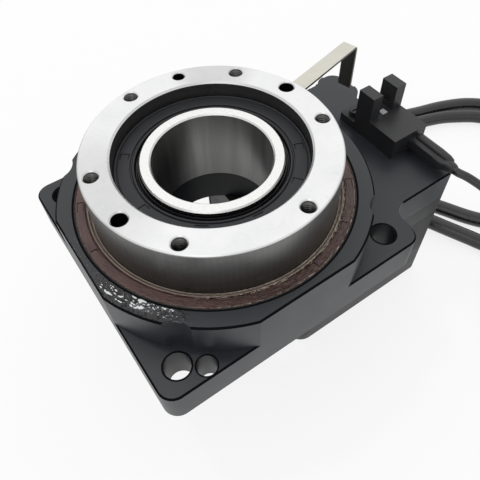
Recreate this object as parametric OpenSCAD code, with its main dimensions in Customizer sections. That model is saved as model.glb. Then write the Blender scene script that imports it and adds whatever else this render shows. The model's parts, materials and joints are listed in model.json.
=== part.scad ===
// Hollow rotary platform: a geared rotary table round a fixed hollow sleeve, driven from
// the side by a square motor that hangs under an extension of the base.
// Millimetres. Origin on the hollow axis at the base's mounting face, +Z up, +X towards
// the motor. The table, its gear, the inner bearing ring and the sensor flag turn together.

/* [Rotary table] */
// Radial width of the table's top ring, outside the recess that seats the inner oil seal
table_ring_w = 8.4; // [8:0.1:9]
// Radial width of the step from the table's bore out to the recess
table_step = 2.6; // [2:0.1:3]
// Height of the table's top face above the mounting face
table_h = 39.6; // [38:0.2:44]
// Width of the small chamfers on the table's edges
table_chamfer = 0.5; // [0.2:0.1:0.8]
// Distance from the table's edge to the circle of holes in its top
hole_inset = 3.3; // [3:0.1:4.2]
// Diameter of the threaded holes in the table's top, midway between crest and root
thread_d = 3.8; // [2.8:0.1:4.2]
// Number of threaded holes in the table's top
thread_count = 6; // [3, 6]
// Depth of the holes in the table's top, as a share of its wall above the boss
hole_share = 0.54; // [0.4:0.02:0.6]
// Diameter of the two dowel holes
dowel_d = 4.2; // [3:0.1:4.5]
// Diameter of the single index hole
index_d = 3.4; // [2:0.1:4]
// Radial width of the shoulder that clamps the bearing
shoulder_w = 5; // [4.5:0.1:5.5]

/* [Hollow sleeve] */
// Bore of the sleeve, the hollow of the platform
hollow_d = 33; // [28:0.5:33.4]
// Wall of the sleeve
sleeve_wall = 3.2; // [2.4:0.1:3.4]
// Radial gap between the sleeve and the table's bore
sleeve_gap = 4.3; // [4:0.1:5]
// Depth of the sleeve's rim below the table's top
sleeve_drop = 3.4; // [1:0.2:5]
// Chamfer at the sleeve's rim
sleeve_chamfer = 0.4; // [0.2:0.1:0.8]
// Height of the sleeve's flange
sleeve_flange_h = 3.5; // [3:0.5:6]
// Height of the sleeve's seat above the mounting face
sleeve_seat_h = 12; // [10:0.5:14]

/* [Oil seals] */
// Depth of the inner seal's face below the table's top
inner_seal_drop = 4.6; // [4:0.2:6]
// Height of the inner seal
inner_seal_h = 4; // [3:0.2:5]
// Height of the outer seal
outer_seal_h = 3.6; // [3:0.2:5]
// Step from the bearing seat out to the seat of the outer seal
seal_step = 2; // [1:0.1:2.2]

/* [Crossed roller bearing] */
// Radial section of the bearing
bearing_section = 8; // [7.6:0.1:8.2]
// Width of the bearing along the axis
bearing_h = 8; // [7.6:0.2:10]
// Diameter and length of each roller
roller_d = 3; // [2.6:0.1:3.1]
// Number of rollers
roller_count = 40; // [32:2:40]
// Gap between the two rings' lips
lip_gap = 1; // [0.9:0.1:1.2]
// Wall of the cage
cage_wall = 0.5; // [0.4:0.1:0.6]
// Height of the ring that clamps the bearing
clamp_h = 1.5; // [1.2:0.1:2]

/* [Gears] */
// Module of both gears
gear_module = 0.8; // [0.79:0.005:0.81]
// Teeth of the table's gear
gear_teeth = 85; // [84:1:86]
// Teeth of the motor's pinion
pinion_teeth = 17; // [17:1:18]
// Face width of both gears
gear_face = 4.5; // [4:0.1:5]
// Running gap above and below the gears
gear_gap = 0.5; // [0.3:0.1:0.6]
// Play between the teeth, at the pitch circle
backlash = 0.08; // [0.04:0.02:0.12]

/* [Housing] */
// Wall left at the base's flat sides, outside the seats of the seal and the cover
side_wall = 2.5; // [2:0.1:5]
// How much further the base reaches on the motor's side
base_reach = 1; // [0:0.5:2]
// Thickness of the base's ears and of the motor extension
base_t = 11.7; // [11.4:0.1:14]
// Corner radius of the base
base_r = 4.5; // [2:0.5:6]
// Wall of the round boss outside the seal
boss_wall = 5; // [4:0.2:6]
// Floor between the gear and the bearing
web_t = 1.5; // [1.4:0.1:2.5]
// Fillet between the base and the motor extension
ext_fillet = 4.7; // [3:0.1:6]
// Corner radius of the motor extension
ext_r = 1.5; // [1:0.5:3]
// Width of the lug on the extension's back corner
lug_w = 11; // [10.5:0.5:14]
// Length of the lug along the end of the extension
lug_l = 16; // [12:1:20]
// Corner radius of the lug
lug_r = 5; // [3:0.5:5]
// How far the lug stands out past the end of the extension
lug_out = 3.4; // [2:0.2:4]
// How far the lug stands out past the side of the extension
lug_back = 1.9; // [1:0.1:3]
// Width of the chamfers on the housing's upper edges
edge = 0.5; // [0.2:0.1:0.8]
// Distance of the four mounting holes from the base's sides
mount_inset = 7.5; // [7.2:0.1:8]
// Diameter of the four mounting holes
mount_hole_d = 7.1; // [5:0.1:7.5]
// Radius of the clearance for the mounting screws' heads
head_clear_r = 6; // [5:0.2:6.4]
// Diameter of the locating hole in the front ear
locate_d = 5.4; // [3:0.1:5.6]

/* [Bottom cover] */
// Thickness of the bottom cover
cover_t = 4; // [4:0.1:4.4]
// Width of the ledge that the cover seats on
cover_ledge = 4.4; // [4.2:0.1:4.8]
// How much wider than the sleeve's bore the hub's bore is, on the radius
hub_relief = 0.8; // [0.5:0.1:1]
// Radial gap between the hub and the turning gear
hub_gap = 1; // [0.8:0.1:1.4]

/* [Motor] */
// Side of the square motor
motor_w = 60; // [56:0.5:62]
// Length of the motor below the mounting face
motor_l = 43.5; // [42:0.5:60]
// Corner radius of the motor on the platform's side
motor_r = 6; // [2:0.5:7]
// Height of the motor's front flange
flange_h = 8; // [8:0.5:10]
// Height of the motor's rear bell
bell_h = 7.5; // [7.5:0.5:9]
// Height of the encoder cover
encoder_h = 8; // [8:0.5:10]
// Diameter of the centring pilot
pilot_d = 38.1; // [30:0.1:39]
// Height of the centring pilot
pilot_h = 1.6; // [1:0.1:2]
// Shaft diameter
shaft_d = 8; // [6:0.5:8]
// Rotor diameter
rotor_d = 28; // [24:0.5:30]
// Air gap between the rotor and the stator
air_gap = 0.3; // [0.2:0.05:0.5]
// Number of stator poles
pole_count = 8; // [6, 8]
// Spacing of the motor's four bolts
motor_bolt_spacing = 47.1; // [46:0.1:48]
// Diameter of the motor's bolts
motor_bolt_d = 4; // [3:0.5:4]
// Outer diameter of the motor's two ball bearings
ball_bearing_d = 16; // [15:0.5:19]
// Width of the motor's two ball bearings
ball_bearing_h = 4; // [3:0.5:4]

/* [Limit sensor] */
// Distance from the end of the extension to the middle of the sensor's slot
sensor_inset = 5.6; // [5:0.1:7]
// Width of the flag
flag_w = 4.8; // [4:0.2:6]
// Thickness of the flag's strip
flag_t = 0.8; // [0.5:0.1:1]
// Height of the flag's strip below the table's top
flag_drop = 3.2; // [2:0.2:4]
// Gap between the end of the flag's leg and the floor of the sensor's slot
flag_gap = 1.2; // [1:0.1:5]
// Direction of the flag
flag_angle = 14; // [8:1:20]
// Width of the sensor's slot
slot_w = 6.1; // [5:0.1:7]
// Thickness of each of the sensor's posts
post_t = 4; // [3:0.2:5]
// Width of each post along the slot
post_w = 6.5; // [5:0.5:8]
// Height of the posts above the extension
post_h = 16.3; // [14:0.1:17]
// Height of the sensor's block above the extension
block_h = 7.5; // [6:0.1:8]
// Length of the block beyond the posts
block_l = 11.8; // [10:0.2:14]
// Length of the sensor's mounting foot
foot_l = 6.5; // [5:0.1:7]
// Height of the sensor's mounting foot
foot_h = 2.8; // [2:0.1:4]
// Length of the plug on the sensor
plug_l = 16.5; // [12:0.5:18]
// Width of the plug on the sensor
plug_w = 5.4; // [5:0.1:6.5]

/* [Cables] */
// Diameter of the motor's two cables
cable_d = 6.2; // [5:0.2:6.2]
// Diameter of the sensor's cable
lead_d = 2.7; // [2:0.1:2.7]

/* [Hidden] */

$fn = 96;
eps = 0.01;                 // overshoot of a cut past the face that it opens
fit = 0.02;                 // radial play of seated rings and registers
screw_play = 0.05;          // radial play round a screw in its hole
head_play = 0.15;           // radial play round a screw's head
tip_play = 0.3;             // room past a screw's tip

// Radii from the hollow out to the table's edge
hollow_r = hollow_d / 2;
sleeve_r = hollow_r + sleeve_wall;
bore_r = sleeve_r + sleeve_gap;
hub_bore_r = hollow_r + hub_relief;
hub_r = bore_r - hub_gap;
recess_r = bore_r + table_step;
table_r = recess_r + table_ring_w;
hole_r = table_r - hole_inset;

// Radii from the table outwards
bearing_bore_r = table_r - shoulder_w;
bearing_r = bearing_bore_r + bearing_section;
pitch_r = (bearing_bore_r + bearing_r) / 2;
seat_r = bearing_r + seal_step;
boss_r = seat_r + boss_wall;

// Heights, from the mounting face upwards
gear_z = cover_t + gear_gap;
gear_top = gear_z + gear_face;
web_z = gear_top + gear_gap;
bearing_z = web_z + web_t;
bearing_mid = bearing_z + bearing_h / 2;
bearing_top = bearing_z + bearing_h;
clamp_top = bearing_top + clamp_h;
seal_gap = 0.2;
outer_seal_z = clamp_top + seal_gap;
boss_h = outer_seal_z + outer_seal_h;
inner_seal_top = table_h - inner_seal_drop;
inner_seal_z = inner_seal_top - inner_seal_h;
sleeve_top = table_h - sleeve_drop;
rise = table_h - boss_h;    // the table's wall that stands above the boss
table_hole_depth = hole_share * rise;
hole_chamfer = 0.4;

// Gear geometry
pressure_angle = 20;
dedendum = 1.25;            // depth below the pitch circle, in modules
function pitch_radius(teeth) = gear_module * teeth / 2;
function tip_radius(teeth) = pitch_radius(teeth) + gear_module;
function root_radius(teeth) = pitch_radius(teeth) - dedendum * gear_module;
motor_x = pitch_radius(gear_teeth) + pitch_radius(pinion_teeth);
gear_room = 0.8;            // gap between the teeth's tips and the cavity's wall
cavity_r = tip_radius(gear_teeth) + gear_room;
pocket_r = tip_radius(pinion_teeth) + gear_room;
cover_r = cavity_r + cover_ledge;

// Bearing details
groove = (roller_d / 2 + 0.05) * sqrt(2);       // half diagonal of the raceway
inner_lip_r = pitch_r - lip_gap / 2;
outer_lip_r = pitch_r + lip_gap / 2;
gear_rim_r = inner_lip_r - 0.8;     // the gear's rim under the bearing's inner ring
cage_h = 2 * roller_d;
cage_window_r = 0.75 * roller_d;

// Housing outline
base_y = max(seat_r, cover_r) + side_wall;
base_x = base_y + base_reach;
ext_x = motor_x + motor_w / 2;
ext_y = motor_w / 2;
lug_x = ext_x + lug_out;
lug_y = ext_y + lug_back;
mount_xy = base_y - mount_inset;
locate_shift = 6.1;         // from the mounting hole along the base's side
locate_wall = 0.6;          // left between the locating hole and the base's side
locate_x = -mount_xy + locate_shift;
locate_y = -base_y + locate_d / 2 + locate_wall;
mount_corners = [for (sx = [-1, 1], sy = [-1, 1]) [sx * mount_xy, sy * mount_xy]];

// Holes of the table
thread_phase = -16;         // direction of the first threaded hole
dowel_phase = 14;           // direction of the first dowel hole
index_phase = 75;           // direction of the index hole

// Small cap screws: shank radius, head radius, head height
small_screw = [1.25, 2.25, 2.5];
gear_screw_count = 8;
gear_screw_r = (bore_r + bearing_bore_r) / 2;
gear_screw_tip = bearing_z + 0.8 * bearing_h;
sleeve_screw_count = 4;
sleeve_screw_r = (hub_bore_r + hub_r) / 2;
sleeve_screw_depth = 2.5;   // of the sleeve's screws in its flange
sleeve_head_z = small_screw[2] + 0.4;       // top of the sleeve's screws' heads
gear_head_z = gear_z + small_screw[2] + 0.2;        // top of the gear's screws' heads
cover_screw_r = cover_r - cover_ledge / 2;
cover_screw_depth = 8;      // reach of the cover's screws above the mounting face
cover_screw_angles = [for (k = [-5 : 2 : 5]) 180 + 26 * k];

// Motor heights, all below the mounting face
ground = -motor_l;
encoder_z = ground + encoder_h;
bell_z = encoder_z + bell_h;
coil_room = 3;              // depth of the hollows that clear the windings' ends
stator_bore_r = rotor_d / 2 + air_gap;
motor_wall = 4.5;
yoke_r = motor_w / 2 - motor_wall;
encoder_room_r = yoke_r - 4;
encoder_floor = 1.5;
bolt_xy = motor_bolt_spacing / 2;
motor_corners = [for (sx = [-1, 1], sy = [-1, 1]) [sx * bolt_xy, sy * bolt_xy]];
bolt_head = [motor_bolt_d * 0.85, motor_bolt_d * 0.7];      // radius and height
bolt_reach = 2 * motor_bolt_d;      // of the two outer bolts, into the extension
shaft_bottom = encoder_z - 2.7;
disc_r = rotor_d / 2 - 1;
disc_t = 0.6;
board_t = 1.6;
reader_size = [4, 6, 1.4];  // optical reader on the board, under the disc's edge
pole_w = 5;
winding_w = 8.4;

// Sensor places
slot_x = ext_x - sensor_inset;
sensor_w = slot_w + 2 * post_t;
sensor_x = slot_x - sensor_w / 2;
post_y = -2.5;              // near face of the posts
block_y = post_y - block_l;
foot_y = post_y + post_w;
sensor_screw_depth = 4.5;
window_w = 2.1;
window_up = 3;              // from the slot's floor to the middle of the windows
plug_shift = 2.3;           // of the plug, off the slot's middle
plug_x = slot_x + plug_shift;
plug_z = base_t + block_h / 2;
plug_h = 5;
plug_end = block_y - plug_l;

// Flag places
flag_reach = slot_x + flag_t / 2;
flag_top = table_h - flag_drop;
flag_bottom = base_t + block_h + flag_gap;
flag_screw_z = boss_h + 0.31 * rise;
flag_tab_z = boss_h + 0.1 * rise;
flag_bend = 1.3;            // outer radius of the flag's bends
flag_play = 0.02;           // between the flag's tab and the table's wall
flag_screw_depth = 4;       // of the flag's screw in the table's wall

// Cable routes: points chosen by hand, lying on the plane that the motor stands on
cable_r = cable_d / 2;
lead_r = lead_d / 2;
cable_plug_size = [15, 11, 8];
contact_w = 1.6;
contact_pitch = 2.4;
boot_l = 7;
boot_x = ext_x + boot_l;
floor_z = ground + cable_r;
power_y = -8;
encoder_y = -1;
function on_floor(points) = [for (p = points) [p[0], p[1], floor_z]];
power_route = on_floor([
    [boot_x, power_y], [82, -8], [87, -12], [90.5, -19], [93.5, -26], [97, -34], [101, -43],
    [106.5, -51.5], [115, -58], [126, -61], [138, -59.5], [149.5, -54], [159.5, -45.5],
    [167.5, -34.5], [173, -21.5], [175, -8], [173.5, 5], [168.5, 15.5], [160.5, 23], [149, 28.5],
    [136, 32.5], [122, 37.5], [109, 42.5], [96, 46.5], [84, 48]
]);
encoder_route = on_floor([
    [boot_x, encoder_y], [84, -1], [91, -5], [96.5, -11], [100.5, -18], [105.2, -27],
    [110.7, -34.3], [118.7, -40.2], [128.6, -43.6], [139.1, -43.8], [149.1, -40.7],
    [157.7, -34.7], [164, -26.3], [167.4, -16.4], [167.6, -5.9], [164.5, 4.1], [158.5, 12.7],
    [151.2, 18.4], [143, 23.2], [131, 27.5], [118, 31.5], [105, 35], [92, 37], [80, 37.5]
]);
lead_floor = ground + lead_r;
lead_route = [
    [plug_x, plug_end, plug_z], [plug_x, plug_end - 2, plug_z], [69.4, -36.2, 14.5],
    [72, -42, 12], [75.5, -46.5, 6], [79, -49.5, -3], [82, -51.5, -14], [85, -52.8, -26],
    [88.5, -53.8, -36], [92.5, -54.8, -41], [97, -56.4, lead_floor + 0.1],
    [102, -59.3, lead_floor + 0.1]
];
coil_centre = [94, -77];
coil_r = 20;                // outer radius of the lead's coil
coil_w = 3 * lead_d;        // width and height of the bundle

// ---------- shared shapes ----------

// Rectangle [x0, x1] by [y0, y1] with corner radii a on the low-x side and b on the other
module rounded_rect(x0, x1, y0, y1, a, b) {
    translate([x0 + a, y0]) square([x1 - x0 - a - b, y1 - y0]);
    translate([x0, y0 + a]) square([a, y1 - y0 - 2 * a]);
    translate([x1 - b, y0 + b]) square([b, y1 - y0 - 2 * b]);
    for (y = [y0 + a, y1 - a]) translate([x0 + a, y]) circle(a);
    for (y = [y0 + b, y1 - b]) translate([x1 - b, y]) circle(b);
}

// Ring between two radii, standing on z
module ring(r_in, r_out, h, z = 0) {
    translate([0, 0, z])
        difference() {
            cylinder(h, r = r_out);
            translate([0, 0, -eps]) cylinder(h + 2 * eps, r = r_in);
        }
}

// Cylinder standing on z at a place in plan
module peg(at, r, h, z = 0) {
    translate([at[0], at[1], z]) cylinder(h, r = r);
}

// Child repeated count times round the axis, at a radius
module around(count, radius, phase = 0) {
    for (k = [0 : count - 1]) rotate(phase + k * 360 / count) translate([radius, 0, 0]) children();
}

// Socket-head screw: head below z, shank up to tip
module cap_screw(size, z, tip) {
    difference() {
        union() {
            translate([0, 0, z - size[2]]) cylinder(size[2], r = size[1]);
            translate([0, 0, z - eps]) cylinder(tip - z + eps, r = size[0]);
        }
        translate([0, 0, z - size[2] - eps]) cylinder(size[2] * 0.6, r = size[0] * 0.95, $fn = 6);
    }
}

// Room for a cap screw: shank hole with play, and its head's counterbore from below
module screw_hole(size, z, tip) {
    translate([0, 0, z - 2 * size[2]]) cylinder(2 * size[2], r = size[1] + head_play);
    translate([0, 0, z - eps]) cylinder(tip - z + eps, r = size[0] + screw_play);
}

// Wedge that chamfers a top edge running along X from x0 to x1 at y, z; side is +1 or -1
module edge_cut(x0, x1, y, z, side) {
    translate([x0, y, z])
        rotate([90, 0, 90])
            linear_extrude(x1 - x0)
                polygon([[side * eps, -edge - eps], [side * eps, eps], [-side * (edge + eps), eps]]);
}

// Wedge that chamfers the top of a rounded corner, from angle a over a quarter turn
module corner_cut(x, y, z, r, a) {
    translate([x, y, z])
        rotate(a)
            rotate_extrude(angle = 90)
                polygon([[r + eps, -edge - eps], [r + eps, eps], [r - edge - eps, eps]]);
}

// ---------- gear teeth ----------

// Involute function of the angle whose cosine is c, in degrees
function involute(c) = tan(acos(c)) * 180 / PI - acos(c);
// Half angle of a tooth at radius r
function half_tooth(teeth, r) =
    let (base = cos(pressure_angle), ratio = min(1, pitch_radius(teeth) * base / r))
    90 / teeth - backlash / 4 / pitch_radius(teeth) * 180 / PI + involute(base) - involute(ratio);
function polar(r, a) = [r * cos(a), r * sin(a)];
// Outline of a gear, with a tooth's middle on +X
function gear_outline(teeth) =
    let (
        low = root_radius(teeth), high = tip_radius(teeth),
        radii = [for (k = [0 : 3]) low + (high - low) * [0, 0.3, 0.65, 1][k]]
    )
    [for (i = [0 : teeth - 1]) let (a = i * 360 / teeth) each concat(
        [for (k = [0 : 3]) polar(radii[k], a - half_tooth(teeth, radii[k]))],
        [for (k = [3 : -1 : 0]) polar(radii[k], a + half_tooth(teeth, radii[k]))]
    )];

// ---------- cable sweep ----------

// Points of a rounded path through the route's points
function catmull(p, q, r, s, t) =
    0.5 * ((2 * q) + (r - p) * t + (2 * p - 5 * q + 4 * r - s) * t * t
        + (3 * q - p - 3 * r + s) * t * t * t);
function smooth(route, steps) =
    let (n = len(route))
    [for (i = [0 : n - 2], k = [0 : steps - (i == n - 2 ? 0 : 1)])
        catmull(route[max(0, i - 1)], route[i], route[i + 1], route[min(n - 1, i + 2)], k / steps)];
function unit(v) = v / norm(v);
// Frame of the section at point i of a path: across, then up
function section(path, i) =
    let (
        n = len(path),
        along = unit(path[min(n - 1, i + 1)] - path[max(0, i - 1)]),
        across = unit(cross([0, 0, 1], along))
    )
    [across, cross(along, across)];
// Tube of radius r along a route, as one closed polyhedron with square ends
module tube(route, r, sides, steps) {
    path = smooth(route, steps);
    n = len(path);
    points = [for (i = [0 : n - 1], k = [0 : sides - 1])
        let (s = section(path, i), a = 360 * k / sides) path[i] + r * (cos(a) * s[0] + sin(a) * s[1])];
    walls = [for (i = [0 : n - 2], k = [0 : sides - 1])
        let (j = (k + 1) % sides, a = i * sides, b = a + sides) [b + k, b + j, a + j, a + k]];
    first = [for (k = [0 : sides - 1]) k];
    last = [for (k = [sides - 1 : -1 : 0]) (n - 1) * sides + k];
    polyhedron(points, concat([first, last], walls));
}

// ---------- housing and cover ----------

// Plan of the base: the square, the motor extension, its lug and the fillets between them
module base_plan() {
    rounded_rect(-base_y, base_x, -base_y, base_y, base_r, base_r);
    translate([0, -ext_y]) square([ext_x - ext_r, 2 * ext_y]);
    rounded_rect(0, ext_x, -ext_y, ext_y, ext_r, ext_r);
    rounded_rect(lug_x - lug_w, lug_x, lug_y - lug_l, lug_y, lug_r, lug_r);
    for (side = [-1, 1])
        difference() {
            translate([base_x, side > 0 ? ext_y : -ext_y - ext_fillet]) square(ext_fillet);
            translate([base_x + ext_fillet, side * (ext_y + ext_fillet)]) circle(ext_fillet);
        }
}

// Round boss with its rim chamfered, clipped flat by the base's three free sides
module boss() {
    intersection() {
        rotate_extrude()
            polygon([[0, 0], [boss_r, 0], [boss_r, boss_h - edge], [boss_r - edge, boss_h], [0, boss_h]]);
        translate([-base_y, -base_y, -eps]) cube([base_y + boss_r + 1, 2 * base_y, boss_h + 1]);
    }
}

// Chamfers along the upper edges of the ears and the extension
module housing_chamfers() {
    for (side = [-1, 1]) {
        edge_cut(-base_y + base_r, base_x - base_r, side * base_y, base_t, side);
        edge_cut(base_x + ext_fillet, side > 0 ? lug_x - lug_w : ext_x - ext_r, side * ext_y, base_t, side);
    }
    rotate(90) edge_cut(-base_y + base_r, base_y - base_r, base_y, base_t, 1);
    rotate(90) edge_cut(-ext_y + ext_r, lug_y - lug_l, -ext_x, base_t, -1);
    corner_cut(-base_y + base_r, -base_y + base_r, base_t, base_r, 180);
    corner_cut(-base_y + base_r, base_y - base_r, base_t, base_r, 90);
    corner_cut(base_x - base_r, -base_y + base_r, base_t, base_r, 270);
    corner_cut(base_x - base_r, base_y - base_r, base_t, base_r, 0);
    corner_cut(ext_x - ext_r, -ext_y + ext_r, base_t, ext_r, 270);
}

// Chamfers along the lug's straight edges and round its outer corner
module lug_chamfers() {
    rotate(90) edge_cut(lug_y - lug_l + lug_r, lug_y - lug_r, -lug_x, base_t, -1);
    corner_cut(lug_x - lug_r, lug_y - lug_r, base_t, lug_r, 0);
    edge_cut(lug_x - lug_w + lug_r, lug_x - lug_r, lug_y, base_t, 1);
}

// Chamfers along the tops of the boss's flats
module flat_chamfers() {
    half = sqrt(boss_r * boss_r - base_y * base_y);
    for (side = [-1, 1]) edge_cut(-half, half, side * base_y, boss_h, side);
    rotate(90) edge_cut(-half, half, base_y, boss_h, 1);
}

module housing() {
    color([0.16, 0.17, 0.19])
        difference() {
            union() {
                difference() {
                    linear_extrude(base_t) base_plan();
                    housing_chamfers();
                    lug_chamfers();
                }
                boss();
            }
            flat_chamfers();
            // gear cavity, pinion pocket, cover seat and pilot seat, from below
            translate([0, 0, -eps]) cylinder(web_z + eps, r = cavity_r);
            translate([0, 0, -eps]) cylinder(cover_t + eps, r = cover_r + fit);
            peg([motor_x, 0], pocket_r, web_z + eps, -eps);
            peg([motor_x, 0], pilot_d / 2 + fit, pilot_h + 0.1 + eps, -eps);
            // bearing seat, and the seat of the clamp ring and outer seal, from above
            translate([0, 0, web_z - eps]) cylinder(web_t + 2 * eps, r = outer_lip_r + 0.7);
            translate([0, 0, bearing_z]) cylinder(boss_h, r = bearing_r + fit);
            translate([0, 0, bearing_top]) cylinder(boss_h, r = seat_r);
            // mounting holes with room for their screws' heads, and the locating hole
            for (p = mount_corners) {
                peg(p, mount_hole_d / 2, base_t + 2 * eps, -eps);
                peg(p, head_clear_r, boss_h, base_t);
            }
            peg([locate_x, locate_y], locate_d / 2, base_t + 2 * eps, -eps);
            // threads for the cover's, the motor's and the sensor's screws
            for (a = cover_screw_angles)
                rotate(a)
                    peg([cover_screw_r, 0], small_screw[0] + screw_play, cover_screw_depth + tip_play);
            for (sy = [-1, 1])
                peg([motor_x + bolt_xy, sy * bolt_xy], motor_bolt_d / 2 + screw_play,
                    bolt_reach + tip_play);
            for (p = sensor_screw_places())
                peg(p, small_screw[0] + screw_play, base_t, base_t - sensor_screw_depth - tip_play);
        }
}

module bottom_cover() {
    color([0.12, 0.12, 0.13])
        difference() {
            union() {
                cylinder(cover_t, r = cover_r);
                cylinder(sleeve_seat_h, r = hub_r);
            }
            translate([0, 0, -eps]) cylinder(sleeve_seat_h + 2 * eps, r = hub_bore_r);
            peg([motor_x, 0], pocket_r, cover_t + 2 * eps, -eps);
            peg([motor_x, 0], pilot_d / 2 + fit, pilot_h + 0.1 + eps, -eps);
            around(sleeve_screw_count, sleeve_screw_r, 45)
                screw_hole(small_screw, sleeve_head_z, sleeve_seat_h + 1);
            for (a = cover_screw_angles) rotate(a) translate([cover_screw_r, 0, 0]) {
                translate([0, 0, -eps]) cylinder(cover_t + 2 * eps, r = small_screw[0] + screw_play);
                translate([0, 0, -eps]) cylinder(1.4 + eps, r = 2);
            }
            for (sy = [-1, 1])
                peg([motor_x - bolt_xy, sy * bolt_xy], motor_bolt_d / 2 + screw_play, cover_t + 1, -eps);
        }
}

// Flat-headed screws, flush with the mounting face
module cover_screws() {
    color("silver")
        for (a = cover_screw_angles) rotate(a) translate([cover_screw_r, 0, 0])
            difference() {
                union() {
                    cylinder(1.4, r = 1.9);
                    cylinder(cover_screw_depth, r = small_screw[0]);
                }
                translate([0, 0, -eps]) cylinder(0.9, r = 0.8, $fn = 6);
            }
}

// ---------- hollow sleeve ----------

module hollow_sleeve() {
    color([0.75, 0.75, 0.74])
        difference() {
            rotate_extrude()
                polygon([
                    [hollow_r, sleeve_seat_h], [hub_r, sleeve_seat_h],
                    [hub_r, sleeve_seat_h + sleeve_flange_h], [sleeve_r, sleeve_seat_h + sleeve_flange_h],
                    [sleeve_r, sleeve_top - sleeve_chamfer], [sleeve_r - sleeve_chamfer, sleeve_top],
                    [hollow_r + sleeve_chamfer, sleeve_top], [hollow_r, sleeve_top - sleeve_chamfer]
                ]);
            around(sleeve_screw_count, sleeve_screw_r, 45)
                translate([0, 0, sleeve_seat_h - eps])
                    cylinder(sleeve_screw_depth + tip_play, r = small_screw[0] + screw_play);
        }
}

module sleeve_screws() {
    color("dimgray")
        around(sleeve_screw_count, sleeve_screw_r, 45)
            cap_screw(small_screw, sleeve_head_z, sleeve_seat_h + sleeve_screw_depth);
}

// ---------- oil seals ----------

// Section of a radial seal from z upwards: a rim at rim_r, seated outside, a dished face
// and a rubbing lip at lip_r inside
module seal_section(rim_r, lip_r, z, h) {
    w = rim_r - lip_r;
    top = z + h;
    polygon([
        [rim_r, z], [rim_r, top - 0.3], [rim_r - 0.3, top], [rim_r - 0.34 * w, top],
        [rim_r - 0.38 * w, top - 0.4], [rim_r - 0.74 * w, top - 0.4],
        [rim_r - 0.8 * w, top - 0.1], [lip_r + 0.35, top - 0.1], [lip_r, top - 0.5],
        [lip_r, top - 1.1], [lip_r + 0.5, top - 1.7], [lip_r + 0.5, z + 0.6],
        [lip_r + 1.1, z], [lip_r + 1.5, top - 1.6], [rim_r - 1.2, top - 1.6],
        [rim_r - 1.2, z]
    ]);
}

module outer_oil_seal() {
    color([0.33, 0.2, 0.16])
        rotate_extrude()
            seal_section(seat_r - fit, table_r + 0.05, outer_seal_z, outer_seal_h);
}

module inner_oil_seal() {
    color([0.1, 0.1, 0.1])
        rotate_extrude() seal_section(recess_r - fit, sleeve_r + 0.05, inner_seal_z, inner_seal_h);
}

// ---------- crossed roller bearing ----------

// Half section of the raceway's square groove
module groove_section() {
    translate([pitch_r, bearing_mid]) rotate(45) square(groove * sqrt(2), center = true);
}

module outer_half(z, h) {
    color([0.7, 0.71, 0.72])
        rotate_extrude()
            difference() {
                translate([outer_lip_r, z]) square([bearing_r - outer_lip_r, h]);
                groove_section();
            }
}

module bearing_outer_lower() {
    outer_half(bearing_z, bearing_h / 2);
}

module bearing_outer_upper() {
    outer_half(bearing_mid, bearing_h / 2);
}

module bearing_inner_ring() {
    color([0.7, 0.71, 0.72])
        rotate_extrude()
            difference() {
                translate([bearing_bore_r, bearing_z])
                    square([inner_lip_r - bearing_bore_r, bearing_h]);
                groove_section();
            }
}

// Rollers as long as they are thick, each at right angles to its neighbours
module bearing_rollers() {
    color("silver")
        for (k = [0 : roller_count - 1])
            rotate(k * 360 / roller_count)
                translate([pitch_r, 0, bearing_mid])
                    rotate([0, k % 2 == 0 ? 45 : -45, 0])
                        cylinder(roller_d, d = roller_d, center = true, $fn = 48);
}

module bearing_cage() {
    color([0.55, 0.5, 0.35])
        difference() {
            ring(pitch_r - cage_wall / 2, pitch_r + cage_wall / 2, cage_h, bearing_mid - cage_h / 2);
            around(roller_count, pitch_r)
                translate([0, 0, bearing_mid])
                    rotate([0, 90, 0]) cylinder(3, r = cage_window_r, center = true, $fn = 48);
        }
}

// Threaded ring with four spanner slots
module bearing_clamp_ring() {
    color([0.45, 0.46, 0.48])
        difference() {
            ring(table_r + 1.2, seat_r - fit, clamp_h, bearing_top);
            around(4, seat_r - 2, 45)
                translate([-3, -1.5, clamp_top - 0.8]) cube([2.6, 3, 1]);
        }
}

// ---------- rotary table ----------

// Section of the table ring: rim, clamping shoulder, spigot and the two bores
module table_section() {
    c = table_chamfer;
    relief_r = inner_lip_r - 0.2;
    polygon([
        [bore_r, bearing_z + 0.2], [bearing_bore_r - fit, bearing_z + 0.2],
        [bearing_bore_r - fit, bearing_top], [relief_r, bearing_top], [relief_r, bearing_top + 0.6],
        [table_r, bearing_top + 0.6], [table_r, table_h - c], [table_r - c, table_h],
        [recess_r + c, table_h], [recess_r, table_h - c], [recess_r, inner_seal_z],
        [bore_r, inner_seal_z]
    ]);
}

// Blind hole in the table's top with a chamfered mouth
module table_hole(d) {
    translate([0, 0, table_h - table_hole_depth]) cylinder(table_hole_depth + 1, d = d);
    translate([0, 0, table_h - hole_chamfer])
        cylinder(hole_chamfer + eps, d1 = d, d2 = d + 2 * (hole_chamfer + eps));
}

module rotary_table() {
    color([0.78, 0.78, 0.78])
        difference() {
            rotate_extrude($fn = 192) table_section();
            around(thread_count, hole_r, thread_phase) table_hole(thread_d);
            around(2, hole_r, dowel_phase) table_hole(dowel_d);
            around(1, hole_r, index_phase) table_hole(index_d);
            around(gear_screw_count, gear_screw_r)
                translate([0, 0, bearing_z])
                    cylinder(gear_screw_tip - bearing_z + tip_play, r = small_screw[0] + screw_play);
            rotate(flag_angle)
                translate([table_r - flag_screw_depth - tip_play, 0, flag_screw_z])
                    rotate([0, 90, 0]) cylinder(2 * flag_screw_depth, r = small_screw[0] + screw_play);
        }
}

// ---------- gears ----------

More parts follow.
